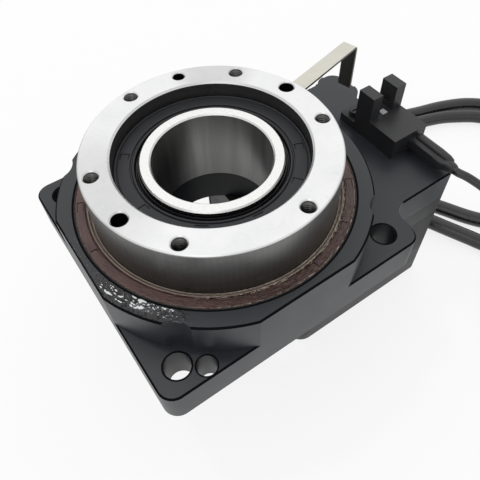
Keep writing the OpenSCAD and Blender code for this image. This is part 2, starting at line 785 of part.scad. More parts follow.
module table_gear() {
    color([0.6, 0.6, 0.6])
        difference() {
            union() {
                translate([0, 0, gear_z]) linear_extrude(gear_face) polygon(gear_outline(gear_teeth));
                translate([0, 0, gear_top - eps]) cylinder(bearing_z - gear_top + eps, r = gear_rim_r);
            }
            translate([0, 0, gear_z - eps]) cylinder(bearing_z, r = bore_r);
            around(gear_screw_count, gear_screw_r)
                screw_hole(small_screw, gear_head_z, bearing_z + 1);
        }
}

module gear_screws() {
    color("dimgray")
        around(gear_screw_count, gear_screw_r)
            cap_screw(small_screw, gear_head_z, gear_screw_tip);
}

module pinion() {
    color([0.55, 0.55, 0.56])
        translate([motor_x, 0, 0])
            rotate(180 + 180 / pinion_teeth)
                difference() {
                    union() {
                        translate([0, 0, gear_z])
                            linear_extrude(gear_face) polygon(gear_outline(pinion_teeth));
                        translate([0, 0, pilot_h + 0.5])
                            cylinder(gear_z - pilot_h - 0.5 + eps, r = root_radius(pinion_teeth) - 0.2);
                    }
                    translate([0, 0, 0]) cylinder(gear_top + 1, r = shaft_d / 2 + fit);
                }
}

// ---------- motor ----------

// Square motor section with the child cut from it, from z over h
module motor_block(z, h) {
    translate([0, 0, z])
        linear_extrude(h)
            rounded_rect(motor_x - motor_w / 2, ext_x, -motor_w / 2, motor_w / 2, motor_r, ext_r);
}

// Cylinder on the motor's axis
module motor_peg(r, h, z) {
    peg([motor_x, 0], r, h, z);
}

// Holes for the motor's four through bolts
module bolt_holes(z, h) {
    for (p = motor_corners)
        peg([motor_x + p[0], p[1]], motor_bolt_d / 2 + screw_play, h + 2 * eps, z - eps);
}

module motor_flange() {
    color([0.15, 0.15, 0.16])
        difference() {
            union() {
                motor_block(-flange_h, flange_h);
                motor_peg(pilot_d / 2, pilot_h + eps, -eps);
            }
            motor_peg(yoke_r, coil_room + eps, -flange_h - eps);
            motor_peg(ball_bearing_d / 2 + fit, ball_bearing_h + coil_room + eps, -flange_h - eps);
            motor_peg(shaft_d / 2 + 1, flange_h + pilot_h + 1, -flange_h);
            bolt_holes(-flange_h, flange_h);
        }
}

module motor_stator() {
    color([0.13, 0.13, 0.14])
        difference() {
            union() {
                difference() {
                    motor_block(bell_z, -flange_h - bell_z);
                    motor_peg(yoke_r, -bell_z, bell_z - eps);
                }
                translate([motor_x, 0, bell_z])
                    around(pole_count, stator_bore_r)
                        translate([0, -pole_w / 2, 0])
                            cube([yoke_r - stator_bore_r + 0.5, pole_w, -flange_h - bell_z]);
            }
            motor_peg(stator_bore_r, -bell_z, bell_z - eps);
            bolt_holes(bell_z, -flange_h - bell_z);
        }
}

// One coil round each pole
module motor_windings() {
    h = -flange_h - bell_z;
    color([0.72, 0.42, 0.2])
        translate([motor_x, 0, bell_z])
            around(pole_count, stator_bore_r + 1.5)
                difference() {
                    translate([0, -winding_w / 2, -2.2])
                        cube([yoke_r - stator_bore_r - 2.5, winding_w, h + 4.4]);
                    translate([-1, -pole_w / 2 - 0.1, -0.1]) cube([yoke_r, pole_w + 0.2, h + 0.2]);
                }
}

module motor_bearings() {
    color("silver")
        for (z = [-flange_h + coil_room, bell_z - coil_room - ball_bearing_h])
            translate([motor_x, 0, 0]) ring(shaft_d / 2 + fit, ball_bearing_d / 2, ball_bearing_h, z);
}

module motor_rear_bell() {
    color([0.15, 0.15, 0.16])
        difference() {
            motor_block(encoder_z, bell_h);
            motor_peg(yoke_r, coil_room + eps, bell_z - coil_room);
            motor_peg(ball_bearing_d / 2 + fit, bell_h, bell_z - coil_room - ball_bearing_h);
            motor_peg(shaft_d / 2 + 1, bell_h + 1, encoder_z - eps);
            bolt_holes(encoder_z, bell_h);
        }
}

module motor_shaft() {
    color("silver") motor_peg(shaft_d / 2, gear_top - shaft_bottom, shaft_bottom);
}

module motor_rotor() {
    color([0.4, 0.4, 0.42])
        translate([motor_x, 0, 0])
            ring(shaft_d / 2 + fit / 2, rotor_d / 2, -flange_h - bell_z - 1, bell_z + 0.5);
}

module encoder_disc() {
    color([0.6, 0.62, 0.6])
        translate([motor_x, 0, 0]) ring(shaft_d / 2 + fit / 2, disc_r, disc_t, shaft_bottom + 0.3);
}

module encoder_cover() {
    color([0.1, 0.1, 0.11])
        difference() {
            motor_block(ground, encoder_h);
            motor_peg(encoder_room_r, encoder_h, ground + encoder_floor);
            bolt_holes(ground, encoder_h);
            for (p = motor_corners)
                peg([motor_x + p[0], p[1]], bolt_head[0] + head_play, bolt_head[1] + 0.4, ground - eps);
        }
}

// Round board on the cover's floor, below the disc
module encoder_board() {
    color([0.1, 0.3, 0.18])
        translate([motor_x, 0, 0])
            union() {
                translate([0, 0, ground + encoder_floor]) cylinder(board_t, r = encoder_room_r - 0.3);
                translate([disc_r + 1.5, -reader_size[1] / 2, ground + encoder_floor + board_t - eps])
                    cube(reader_size);
            }
}

// Four through bolts, heads sunk in the encoder cover; two reach the extension, two the cover
module motor_bolts() {
    color("dimgray")
        for (p = motor_corners)
            translate([motor_x + p[0], p[1], 0])
                cap_screw([motor_bolt_d / 2, bolt_head[0], bolt_head[1]], ground + bolt_head[1] + 0.3,
                    p[0] > 0 ? bolt_reach : cover_t - tip_play);
}

// ---------- motor cables ----------

// Rubber boot that carries a cable out of the encoder cover
module boot(y) {
    color([0.08, 0.08, 0.08])
        translate([ext_x, y - cable_r, ground]) cube([boot_l, cable_d, cable_d]);
}

module power_boot() {
    boot(power_y);
}

module encoder_boot() {
    boot(encoder_y);
}

module power_cable() {
    color([0.06, 0.06, 0.06]) tube(power_route, cable_r, 8, 2);
}

module encoder_cable() {
    color([0.06, 0.06, 0.06]) tube(encoder_route, cable_r, 8, 2);
}

// Plug at the end of a route, with a row of four contact chambers
module cable_plug(route) {
    end = route[len(route) - 1];
    back = unit(end - route[len(route) - 2]);
    translate([end[0], end[1], ground])
        rotate(atan2(back[1], back[0]))
            difference() {
                translate([0, -cable_plug_size[1] / 2, 0]) cube(cable_plug_size);
                for (k = [-1.5 : 1 : 1.5])
                    translate([cable_plug_size[0] * 0.75, k * contact_pitch - contact_w / 2,
                        cable_plug_size[2] * 0.4])
                        cube([cable_plug_size[0], contact_w, contact_w]);
            }
}

module power_plug() {
    color([0.1, 0.1, 0.1]) cable_plug(power_route);
}

module encoder_plug() {
    color([0.1, 0.1, 0.1]) cable_plug(encoder_route);
}

// ---------- limit sensor ----------

function sensor_screw_places() =
    [for (sx = [0.25, 0.75]) [sensor_x + sx * sensor_w, foot_y + foot_l / 2]];

module sensor_body() {
    color([0.09, 0.09, 0.1])
        difference() {
            translate([sensor_x, 0, base_t])
                union() {
                    translate([0, block_y, 0]) cube([sensor_w, foot_y - block_y, block_h]);
                    translate([0, post_y, 0]) cube([post_t, post_w, post_h]);
                    translate([sensor_w - post_t, post_y, 0]) cube([post_t, post_w, post_h]);
                    translate([0, foot_y - eps, 0]) cube([sensor_w, foot_l + eps, foot_h]);
                }
            for (p = sensor_screw_places()) peg(p, small_screw[0] + 0.15, foot_h + 2, base_t - 1);
            // seats of the windows in the posts' facing sides, and of the lamp in the slot's floor
            translate([slot_x, post_y + post_w / 2, base_t + block_h + window_up])
                cube([slot_w + 1.2, window_w + 0.1, window_w + 0.1], center = true);
            translate([slot_x, post_y + window_w / 2, base_t + block_h])
                cube([window_w + 0.1, window_w + 0.1, 1.2], center = true);
        }
}

// Light windows of the emitter and receiver, facing each other across the slot, and the
// lamp's window in the slot's floor
module sensor_window() {
    color([0.5, 0.5, 0.52]) {
        for (side = [-1, 1])
            translate([slot_x + side * (slot_w / 2 + 0.3), post_y + post_w / 2,
                base_t + block_h + window_up])
                cube([0.56, window_w, window_w], center = true);
        translate([slot_x, post_y + window_w / 2, base_t + block_h - 0.2])
            cube([window_w, window_w, 0.76], center = true);
    }
}

module sensor_screws() {
    color("silver")
        for (p = sensor_screw_places()) {
            peg(p, small_screw[0], foot_h + sensor_screw_depth + eps, base_t - sensor_screw_depth);
            difference() {
                peg(p, 2.1, 1.6, base_t + foot_h);
                translate([p[0] - 1.6, p[1] - 0.3, base_t + foot_h + 1]) cube([3.2, 0.6, 1]);
            }
        }
}

// Flat plug on the block's end face, with two grip ridges, narrowing to the cable
module sensor_plug() {
    half = plug_w / 2;
    color([0.08, 0.08, 0.08])
        translate([plug_x, block_y, plug_z])
            rotate([90, 0, 0])
                union() {
                    translate([-half, -plug_h / 2, 0]) cube([plug_w, plug_h, plug_l * 0.72]);
                    translate([-half + 0.8, -plug_h / 2 + 0.7, 0])
                        cube([plug_w - 1.6, plug_h - 1.4, plug_l * 0.9]);
                    for (side = [-1, 1])
                        translate([side * (half - 1) - 0.35, plug_h / 2 - eps, 1])
                            cube([0.7, 0.5, plug_l * 0.6]);
                    cylinder(plug_l, r = lead_r + 0.4);
                }
}

module sensor_lead() {
    color([0.06, 0.06, 0.06]) tube(lead_route, lead_r, 8, 3);
}

module sensor_coil() {
    color([0.06, 0.06, 0.06])
        translate([coil_centre[0], coil_centre[1], ground])
            rotate_extrude()
                translate([coil_r - coil_w, 0]) square([coil_w, coil_w]);
}

// Strip bent twice: a tab on the table's wall, an arm outwards and a leg down to the slot
module sensor_flag() {
    root = table_r + flag_play;
    span = flag_reach - root;
    color([0.6, 0.58, 0.52])
        rotate(flag_angle)
            difference() {
                translate([0, flag_w / 2, 0])
                    rotate([90, 0, 0])
                        linear_extrude(flag_w)
                            difference() {
                                union() {
                                    translate([root, flag_tab_z]) square([flag_t, flag_top - flag_tab_z]);
                                    translate([root, flag_top - flag_t]) square([span, flag_t]);
                                    translate([flag_reach - flag_t, flag_bottom])
                                        square([flag_t, flag_top - flag_bottom]);
                                }
                                corner_notch([flag_reach - flag_bend, flag_top - flag_bend], flag_bend, 1);
                                corner_notch([root + flag_bend, flag_top - flag_bend], flag_bend, -1);
                            }
                translate([root - 1, 0, flag_screw_z])
                    rotate([0, 90, 0]) cylinder(flag_t + 2, r = small_screw[0] + 0.1);
            }
}

// What a bend's outer radius takes off a square corner; side is +1 for the outer corner
module corner_notch(centre, r, side) {
    translate(centre)
        difference() {
            translate([side > 0 ? 0 : -r - 1, 0]) square(r + 1);
            circle(r);
        }
}

module flag_screw() {
    color("silver")
        rotate(flag_angle)
            translate([table_r + flag_play + flag_t, 0, flag_screw_z])
                rotate([0, -90, 0])
                    union() {
                        translate([0, 0, -1.6]) cylinder(1.6, r = 2.1);
                        cylinder(flag_t + flag_play + flag_screw_depth, r = small_screw[0]);
                    }
}

housing();
bottom_cover();
cover_screws();
hollow_sleeve();
sleeve_screws();
outer_oil_seal();
bearing_clamp_ring();
bearing_outer_lower();
bearing_outer_upper();
bearing_rollers();
bearing_cage();
bearing_inner_ring();
rotary_table();
inner_oil_seal();
table_gear();
gear_screws();
pinion();
motor_shaft();
motor_rotor();
encoder_disc();
motor_flange();
motor_stator();
motor_windings();
motor_bearings();
motor_rear_bell();
encoder_cover();
encoder_board();
motor_bolts();
power_boot();
encoder_boot();
power_cable();
encoder_cable();
power_plug();
encoder_plug();
sensor_body();
sensor_window();
sensor_screws();
sensor_plug();
sensor_lead();
sensor_coil();
sensor_flag();
flag_screw();
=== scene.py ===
# %% [markdown]
# # Dressing a hollow rotary platform
# A hollow rotary platform is a geared turntable with a hole right through it. A square motor
# hangs under one end and turns the ring; the dark housing stays still. The CAD part already
# has every solid in its place, so this lesson adds what CAD leaves out: real cables, threads,
# moulded marks on the rubber seals, and a finish for every metal and plastic.

import functools
import json
import math

import bmesh
import bpy
import numpy as np
from mathutils import Matrix, Vector

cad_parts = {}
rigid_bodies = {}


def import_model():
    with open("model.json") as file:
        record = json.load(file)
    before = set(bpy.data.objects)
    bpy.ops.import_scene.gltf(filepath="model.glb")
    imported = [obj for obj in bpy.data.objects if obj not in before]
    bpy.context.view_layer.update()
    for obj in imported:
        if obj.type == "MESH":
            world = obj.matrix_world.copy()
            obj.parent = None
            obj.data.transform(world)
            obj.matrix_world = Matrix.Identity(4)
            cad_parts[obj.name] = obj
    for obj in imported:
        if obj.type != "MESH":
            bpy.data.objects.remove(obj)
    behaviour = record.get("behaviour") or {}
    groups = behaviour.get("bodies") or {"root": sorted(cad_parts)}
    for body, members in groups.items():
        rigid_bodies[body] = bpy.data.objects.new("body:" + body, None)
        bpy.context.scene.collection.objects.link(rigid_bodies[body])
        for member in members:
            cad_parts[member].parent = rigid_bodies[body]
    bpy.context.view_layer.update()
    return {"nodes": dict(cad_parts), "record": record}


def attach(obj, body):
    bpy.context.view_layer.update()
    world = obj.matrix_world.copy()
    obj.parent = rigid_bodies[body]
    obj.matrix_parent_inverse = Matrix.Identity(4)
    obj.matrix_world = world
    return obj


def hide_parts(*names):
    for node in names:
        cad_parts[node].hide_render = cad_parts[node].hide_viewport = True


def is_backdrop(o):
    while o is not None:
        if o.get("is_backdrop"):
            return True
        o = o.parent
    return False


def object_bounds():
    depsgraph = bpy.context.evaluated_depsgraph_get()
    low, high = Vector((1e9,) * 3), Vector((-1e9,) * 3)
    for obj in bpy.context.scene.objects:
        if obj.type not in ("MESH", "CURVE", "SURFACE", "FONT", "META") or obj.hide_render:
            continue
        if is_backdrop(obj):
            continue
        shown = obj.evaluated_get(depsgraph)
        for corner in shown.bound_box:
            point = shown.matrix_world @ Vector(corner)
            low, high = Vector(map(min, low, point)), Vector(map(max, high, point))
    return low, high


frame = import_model()
NODES = frame["nodes"]
MM = 0.001

# %% [markdown]
# ## The camera
# A product camera is placed by three directions: what is right, what is up, and what is
# backwards. Writing them down as the columns of a matrix is exact, while Euler angles would
# hide the small roll. The lens is an ordinary one, neither wide nor long, and it is close to
# the part, so the near corner looks large.

# %% Place the camera
CAMERA_PLACE = (-48.18, -87.85, 134.87)
CAMERA_RIGHT = (0.82068, -0.57083, -0.02536)
CAMERA_UP = (0.47113, 0.65091, 0.59529)
CAMERA_BACK = (-0.32327, -0.50050, 0.80312)
camera = bpy.data.objects.new("camera", bpy.data.cameras.new("camera"))
camera.data.lens = 39.04
camera.data.sensor_width = 36
camera.data.shift_x, camera.data.shift_y = -0.005, -0.011
camera.data.clip_start, camera.data.clip_end = 0.005, 20
axes = Matrix([CAMERA_RIGHT, CAMERA_UP, CAMERA_BACK]).transposed().to_4x4()
camera.matrix_world = Matrix.Translation([v * MM for v in CAMERA_PLACE]) @ axes
bpy.context.scene.collection.objects.link(camera)
bpy.context.scene.camera = camera
print("camera at", [round(v, 4) for v in camera.location])

# %% [markdown]
# ## Curves and surfaces from numbers
# Every new piece is a grid of points. A tube is a circle carried along a path, a ring is a
# profile carried round the axis, and a moulded body is a rounded rectangle that changes from
# station to station. Each is one array of shape (rows, columns, 3), and its columns run
# round and close on themselves, so one helper turns any of them into a mesh.


# %% Faces of a grid
def sheet(grid, wrap_rows=False):
    """Points and faces of a grid whose columns run round. Each cell is one quad. Rows either
    close into a ring as well, or the first and the last row get a fan of triangles."""
    rows, columns = grid.shape[:2]
    points = grid.reshape(-1, 3)
    row, column = np.indices((rows if wrap_rows else rows - 1, columns))
    below, beside = (row + 1) % rows, (column + 1) % columns
    corners = [(row, column), (row, beside), (below, beside), (below, column)]
    faces = np.stack([r * columns + c for r, c in corners], -1).reshape(-1, 4).tolist()
    if not wrap_rows:
        k = np.arange(columns)
        k2, top, first = (k + 1) % columns, (rows - 1) * columns, len(points)
        faces += np.stack([np.full(columns, first), k2, k], 1).tolist()
        faces += np.stack([np.full(columns, first + 1), top + k, top + k2], 1).tolist()
        points = np.vstack([points, grid[0].mean(0), grid[-1].mean(0)])
    return points, faces


# %% A piece from one or more grids
SHARP_ANGLE = math.radians(42)


def place_piece(piece, body, slot):
    """Puts a piece in the scene, on its body, and notes which finish it takes."""
    bpy.context.scene.collection.objects.link(piece)
    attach(piece, body)
    if slot:
        piece["slot"] = slot


def make_piece(name, body, slot, *sheets):
    """Joins the sheets, given in millimetres, into one smooth mesh that rides on a body."""
    points, faces = [], []
    for some_points, some_faces in sheets:
        shift = sum(len(p) for p in points)
        faces += [[shift + k for k in face] for face in some_faces]
        points.append(some_points)
    mesh = bpy.data.meshes.new(name)
    mesh.from_pydata((np.vstack(points) * MM).tolist(), [], faces)
    mesh.polygons.foreach_set("use_smooth", np.full(len(mesh.polygons), True))
    mesh.update()
    mesh.set_sharp_from_angle(angle=SHARP_ANGLE)
    piece = bpy.data.objects.new(name, mesh)
    place_piece(piece, body, slot)
    print(f"{name}: {len(mesh.polygons)} faces on {body}")
    return piece


# %% Smooth paths
SPAN_POINTS = 24


def smooth_path(points, step):
    """Points every step along a Catmull-Rom curve through the given ones: on each span the
    place is the cubic that passes both ends with slopes (next - previous) / 2."""
    p = np.asarray(points, float)
    p = np.vstack([2 * p[0] - p[1], p, 2 * p[-1] - p[-2]])
    t = np.linspace(0, 1, SPAN_POINTS, endpoint=False)[None, :, None]
    a, b, c, d = (p[i : len(p) - 3 + i, None] for i in range(4))
    bend, twist = 2 * a - 5 * b + 4 * c - d, 3 * b - a - 3 * c + d
    fine = 0.5 * (2 * b + (c - a) * t + bend * t**2 + twist * t**3)
    fine = np.vstack([fine.reshape(-1, 3), p[-2]])
    along = np.concatenate([[0], np.cumsum(np.linalg.norm(np.diff(fine, axis=0), axis=1))])
    even = np.linspace(0, along[-1], max(2, round(along[-1] / step) + 1))
    return np.stack([np.interp(even, along, fine[:, k]) for k in range(3)], 1)


# %% Circles and rounded corners
def circle(count):
    """Angles once round, the last one a step short of the first."""
    return np.linspace(0, 2 * np.pi, count, endpoint=False)


def signed_power(value, power):
    """Power of a value's size, with the value's own sign."""
    return np.sign(value) * np.abs(value) ** power


# %% Three ways to make a grid
def tube_grid(path, radius, sides):
    """Circles square to a path. The frame turns with the path and leans on world up:
    across = up x along, over = along x across."""
    along = np.gradient(path, axis=0)
    along /= np.linalg.norm(along, axis=1, keepdims=True)
    across = np.cross([0.0, 0.0, 1.0], along)
    across /= np.maximum(np.linalg.norm(across, axis=1, keepdims=True), 1e-9)
    over = np.cross(along, across)
    a = circle(sides)[None, :, None]
    return path[:, None] + radius * (np.cos(a) * across[:, None] + np.sin(a) * over[:, None])


def ring_grid(profile, degrees):
    """Profile of (radius, height) pairs carried round the hollow's axis: the point is
    (r cos a, r sin a, z). The profile runs anticlockwise, so that faces look outwards."""
    a = np.radians(degrees)[None, :]
    r, z = (np.asarray(profile, float)[:, k][:, None] for k in (0, 1))
    return np.stack([r * np.cos(a), r * np.sin(a), z + 0 * a], -1)


def loft_grid(start, along, stations, sides=40):
    """Rounded rectangles along a level line. A station is (distance, half width, half height,
    shift up, power), and its outline is |x / width|^power + |z / height|^power = 1."""
    s = np.asarray(stations, float)
    distance, width, height, lift, power = (s[:, k][:, None] for k in range(5))
    a = circle(sides)[None, :]
    x = width * signed_power(np.cos(a), 2 / power)
    z = height * signed_power(np.sin(a), 2 / power) + lift
    along = np.array([*along, 0.0]) / np.linalg.norm(along)
    across = np.cross([0.0, 0.0, 1.0], along)
    place = np.asarray(start, float) + distance[:, :, None] * along
    return place + x[:, :, None] * across + z[:, :, None] * np.array([0.0, 0.0, 1.0])


print("helpers ready: sheet, make_piece, smooth_path, tube_grid, ring_grid, loft_grid")

# %% [markdown]
# ## Cables
# A cable has one length, so it is built as one path and swept once. The two motor cables
# leave their boots, swing wide past the sensor's side and come back behind the unit. They
# rest on the bench all the way, which keeps them at one radius above it.

# %% Routes of the two motor cables
BENCH = -43.5
CABLE_R = 3.1
POWER_ROUTE = [
    (77.8, -8), (82, -8), (87, -12), (90.5, -19), (93.5, -26), (97, -34), (101, -43),
    (106.5, -51.5), (115, -58), (126, -61), (138, -59.5), (149.5, -54), (159.5, -45.5),
    (167.5, -34.5), (173, -21.5), (175, -8), (173.5, 5), (168.5, 15.5), (160.5, 23), (149, 28.5),
    (136, 32.5), (122, 37.5), (109, 42.5), (96, 46.5), (84, 48),
]
ENCODER_ROUTE = [
    (77.8, -1), (84, -1), (91, -5), (96.5, -11), (100.5, -18), (105.2, -27), (110.7, -34.3),
    (118.7, -40.2), (128.6, -43.6), (139.1, -43.8), (149.1, -40.7), (157.7, -34.7), (164, -26.3),
    (167.4, -16.4), (167.6, -5.9), (164.5, 4.1), (158.5, 12.7), (151.2, 18.4), (143, 23.2),
    (131, 27.5), (118, 31.5), (105, 35), (92, 37), (80, 37.5),
]
print("routes with", len(POWER_ROUTE), "and", len(ENCODER_ROUTE), "points")


# %% A connector for the end of a cable
SOCKET_MIDDLE = BENCH + 4
PIN_PITCH = 2.1


def connector(name, route):
    """Moulded socket: a collar swells from the cable into a box, the box turns in at its
    mouth to an open chamber, and four pins stand on the chamber's floor."""
    end, before = np.array(route[-1], float), np.array(route[-2], float)
    along = end - before
    body = [
        (-5.5, 3.2, 3.2, -0.9, 2), (-5, 3.5, 3.5, -0.8, 2), (-2.5, 3.5, 3.4, -0.7, 2),
        (-2.2, 3.3, 3.2, -0.7, 2), (-1.6, 3.3, 3.2, -0.7, 2), (-1.3, 3.7, 3.4, -0.6, 2),
        (0, 4, 3.4, -0.5, 3), (0.4, 5, 3.6, -0.2, 6), (0.9, 5.5, 3.95, 0, 9),
        (5, 5.5, 3.95, 0, 9), (5.3, 5.25, 3.7, 0, 9), (6, 5.25, 3.7, 0, 9),
        (6.3, 5.5, 3.95, 0, 9), (14.6, 5.5, 3.95, 0, 9), (15, 5.1, 3.55, 0, 9),
        (15, 4.5, 2.9, 0, 9), (14.6, 4.4, 2.8, 0, 9), (9, 4.4, 2.8, 0, 9),
    ]
    latch = [(1.5, 1.6, 0.35, 4, 6), (3, 1.8, 0.8, 4, 6), (11, 1.8, 0.8, 4, 6), (12.6, 1.7, 0.3, 4, 6)]
    parts = [sheet(loft_grid((*end, SOCKET_MIDDLE), along, stations)) for stations in (body, latch)]
    shell = make_piece(name, "base", "plug_black", *parts)
    pin = [(8.9, 0.4, 0.4, -0.2, 6), (12.6, 0.4, 0.4, -0.2, 6), (13.4, 0.15, 0.15, -0.2, 4)]
    side = np.array([-along[1], along[0]]) / np.linalg.norm(along)
    feet = [(*(end + k * PIN_PITCH * side), SOCKET_MIDDLE) for k in (-1.5, -0.5, 0.5, 1.5)]
    rows = [sheet(loft_grid(foot, along, pin, 8)) for foot in feet]
    pins = make_piece(name + "_pins", "base", "screw_steel", *rows)
    return shell, pins


power_end = connector("power_connector", POWER_ROUTE)
encoder_end = connector("encoder_connector", ENCODER_ROUTE)
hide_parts("power_plug")
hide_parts("encoder_plug")


# %% A tapered boot where each cable leaves the motor
BOOT_START, BOOT_LENGTH = 70.8, 11.2
FLANGE_SHARE, RIBS = 0.12, 4.5


def boot(name, y):
    """Rubber sleeve that shrinks from a flange at the motor to the cable. Its half height is
    a straight taper plus a sine, which makes the ribs that let it bend."""
    step = np.linspace(0, 1, 41)
    rib = 0.16 * np.sin(2 * np.pi * RIBS * step) * (step > FLANGE_SHARE)
    high = np.where(step < FLANGE_SHARE, 4.4, 3.95 - 0.75 * step + rib)
    wide = np.where(step < FLANGE_SHARE, 3.45, 3.3 - 0.08 * step + 0.5 * rib)
    stations = np.stack([BOOT_LENGTH * step, wide, high, high, 5 - 2.6 * step], 1)
    grid = loft_grid((BOOT_START, y, BENCH), (1, 0), stations)
    return make_piece(name, "base", "cable_black", sheet(grid))


power_boot = boot("power_strain_relief", -8)
encoder_boot = boot("encoder_strain_relief", -1)
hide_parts("power_boot")
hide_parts("encoder_boot")


# %% The two motor cables
def motor_cable(name, route):
    """Tube of constant radius along the route, its centre one radius above the bench."""
    path = smooth_path([(x, y, BENCH + CABLE_R) for x, y in route], 1.5)
    cable = make_piece(name, "base", "cable_black", sheet(tube_grid(path, CABLE_R, 20)))
    return cable


power_cable = motor_cable("power_cord", POWER_ROUTE)
encoder_cable = motor_cable("encoder_cord", ENCODER_ROUTE)
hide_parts("power_cable")
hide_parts("encoder_cable")

# %% [markdown]
# ## The sensor's plug and lead
# The plug is a flat moulded body with one thick and one thin grip bar. The thin lead leaves
# it straight, falls past the edge of the extension to the bench, and the rest of its length
# is stored as a neat coil. A coil is a helix whose radius and height change from turn to
# turn, so that the turns lie beside and on each other.

# %% Sensor plug
PLUG_START = -14.3
plug_body = [
    (0, 2.7, 1.9, -0.6, 5), (11.5, 2.6, 1.9, -0.6, 5), (13.2, 2.2, 1.8, -0.5, 3),
    (14.6, 1.95, 1.85, -0.1, 2.2), (16.5, 1.75, 1.75, 0, 2), (17.4, 1.45, 1.45, 0, 2),
]
thick_bar = [
    (0.4, 0.5, 0.5, 0, 2), (0.7, 1.25, 1.1, 0, 2), (1.4, 1.6, 1.45, 0, 2), (10, 1.6, 1.45, 0, 2),
    (13.2, 1.5, 1.35, -0.1, 2), (14.8, 1.2, 1.1, -0.3, 2), (15.7, 0.5, 0.5, -0.6, 2),
]
thin_bar = [
    (0.6, 0.3, 0.3, 0, 2), (1.2, 0.7, 0.75, 0, 2), (9.5, 0.7, 0.75, 0, 2), (11.8, 0.55, 0.6, -0.2, 2),
    (12.6, 0.2, 0.2, -0.4, 2),
]
places = [
    ((67.5, PLUG_START, 15.45), plug_body), ((68.55, PLUG_START, 16.5), thick_bar),
    ((65.6, PLUG_START, 16.25), thin_bar),
]
parts = [sheet(loft_grid(place, (0, -1), stations)) for place, stations in places]
plug = make_piece("sensor_plug_shell", "base", "plug_black", *parts)
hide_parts("sensor_plug")

# %% Path of the lead and its coil
LEAD_R = 1.35
LEAD_FLOOR = BENCH + LEAD_R
LEAD_ROUTE = [
    (67.5, -30.8, 15.45), (67.5, -32.8, 15.45), (69.4, -36.2, 14.5), (72, -42, 12),
    (75.5, -46.5, 6), (79, -49.5, -3), (82, -51.5, -14), (85, -52.8, -26), (88.5, -53.8, -36),
    (92.5, -54.8, -41), (97, -56.4, LEAD_FLOOR), (102, -59.3, LEAD_FLOOR),
]
COIL_CENTRE = np.array([94.0, -77.0])
COIL_MIDDLE = 16.0
COIL_TURNS = [(1, 0), (0, 0), (-1, 0), (-1, 1), (0, 1), (1, 1), (0.5, 2), (-0.5, 2)]
COIL_START = math.radians(45)
TURN_POINTS = 36
# A turn moves to its next place from this share of the circle on, over this share of it
MOVE_FROM, MOVE_SPAN = 0.83, 0.17
# Each layer of turns sinks a little into the one below
NESTING = 0.94


def coil_path():
    """Turns of a spiral: in each turn the place in the bundle, (steps out, steps up), eases
    to the next turn's place over the last sixth of the circle, one lead diameter a step."""
    steps = np.array(COIL_TURNS, float)
    turn = np.arange(len(steps) * TURN_POINTS + 1) / TURN_POINTS
    which = np.minimum(turn.astype(int), len(steps) - 1)
    after = np.minimum(which + 1, len(steps) - 1)
    part = np.clip((turn - which - MOVE_FROM) / MOVE_SPAN, 0, 1)[:, None]
    part = part * part * (3 - 2 * part)
    place = steps[which] * (1 - part) + steps[after] * part
    angle = COIL_START - 2 * np.pi * turn
    radius = COIL_MIDDLE + place[:, 0] * 2 * LEAD_R
    height = LEAD_FLOOR + place[:, 1] * 2 * LEAD_R * NESTING
    flat = COIL_CENTRE + radius[:, None] * np.stack([np.cos(angle), np.sin(angle)], 1)
    return np.column_stack([flat, height])


# %% Lead, and the four bare conductors at its end
lead_path = smooth_path(np.vstack([LEAD_ROUTE, coil_path()]), 1.2)
lead = make_piece("sensor_lead_cord", "base", "cable_black", sheet(tube_grid(lead_path, LEAD_R, 12)))
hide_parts("sensor_lead", "sensor_coil")
# Name, and place across the bundle
CORES = [("core_brown", -0.95), ("core_black", -0.32), ("core_white", 0.32), ("core_blue", 0.95)]
CORE_R, TIP_R = 0.42, 0.26
for core, offset in CORES:
    share = np.linspace(0, 1, 9)
    angle = COIL_START - 0.85 * share
    radius = COIL_MIDDLE - LEAD_R + offset * (0.55 + 1.1 * share)
    flat = COIL_CENTRE + radius[:, None] * np.stack([np.cos(angle), np.sin(angle)], 1)
    drop = LEAD_FLOOR + 4 * LEAD_R * NESTING - 1.1 * share * share
    path = smooth_path(np.column_stack([flat, drop]), 0.6)
    jacket, bare = sheet(tube_grid(path[:-6], CORE_R, 10)), sheet(tube_grid(path[-8:], TIP_R, 8))
    make_piece(core, "base", None, jacket)
    make_piece(core + "_tip", "base", "screw_steel", bare)

# %% Two ties that hold the coil
TIE_WIDE, TIE_HIGH, TIE_MIDDLE, TIE_POWER = 4.4, 3.98, 4.05, 0.7
loop = circle(48)
out = TIE_WIDE * signed_power(np.cos(loop), TIE_POWER)
up = TIE_MIDDLE + TIE_HIGH * signed_power(np.sin(loop), TIE_POWER)
strap = [(-1.1, 0.0), (-1.2, 0.2), (-1.1, 0.4), (1.1, 0.4), (1.2, 0.2), (1.1, 0.0)]
for tie, degrees in (("coil_tie_left", 165), ("coil_tie_right", 300)):
    a = math.radians(degrees)
    spoke = np.array([math.cos(a), math.sin(a), 0])
    tangent = np.array([-math.sin(a), math.cos(a), 0])
    centre = np.array([*COIL_CENTRE, BENCH]) + COIL_MIDDLE * spoke
    spine = centre + out[:, None] * spoke + up[:, None] * np.array([0, 0, 1.0])
    inward = centre + np.array([0, 0, TIE_MIDDLE]) - spine
    inward /= np.linalg.norm(inward, axis=1, keepdims=True)
    grid = np.stack([spine + w * tangent + t * inward for w, t in strap], 1)
    make_piece(tie, "base", "plug_black", sheet(grid, wrap_rows=True))

# %% [markdown]
# ## Oil seals
# A radial oil seal is moulded rubber: a rim pressed into its seat, a flat band with moulded
# marks, a garter ridge and a rubbing lip. All of it is one profile carried round the axis.
# The marks are shallow grooves in the flat band. Rows and columns of the grid are placed
# exactly at the grooves' edges, so the edges are crisp without a dense mesh.

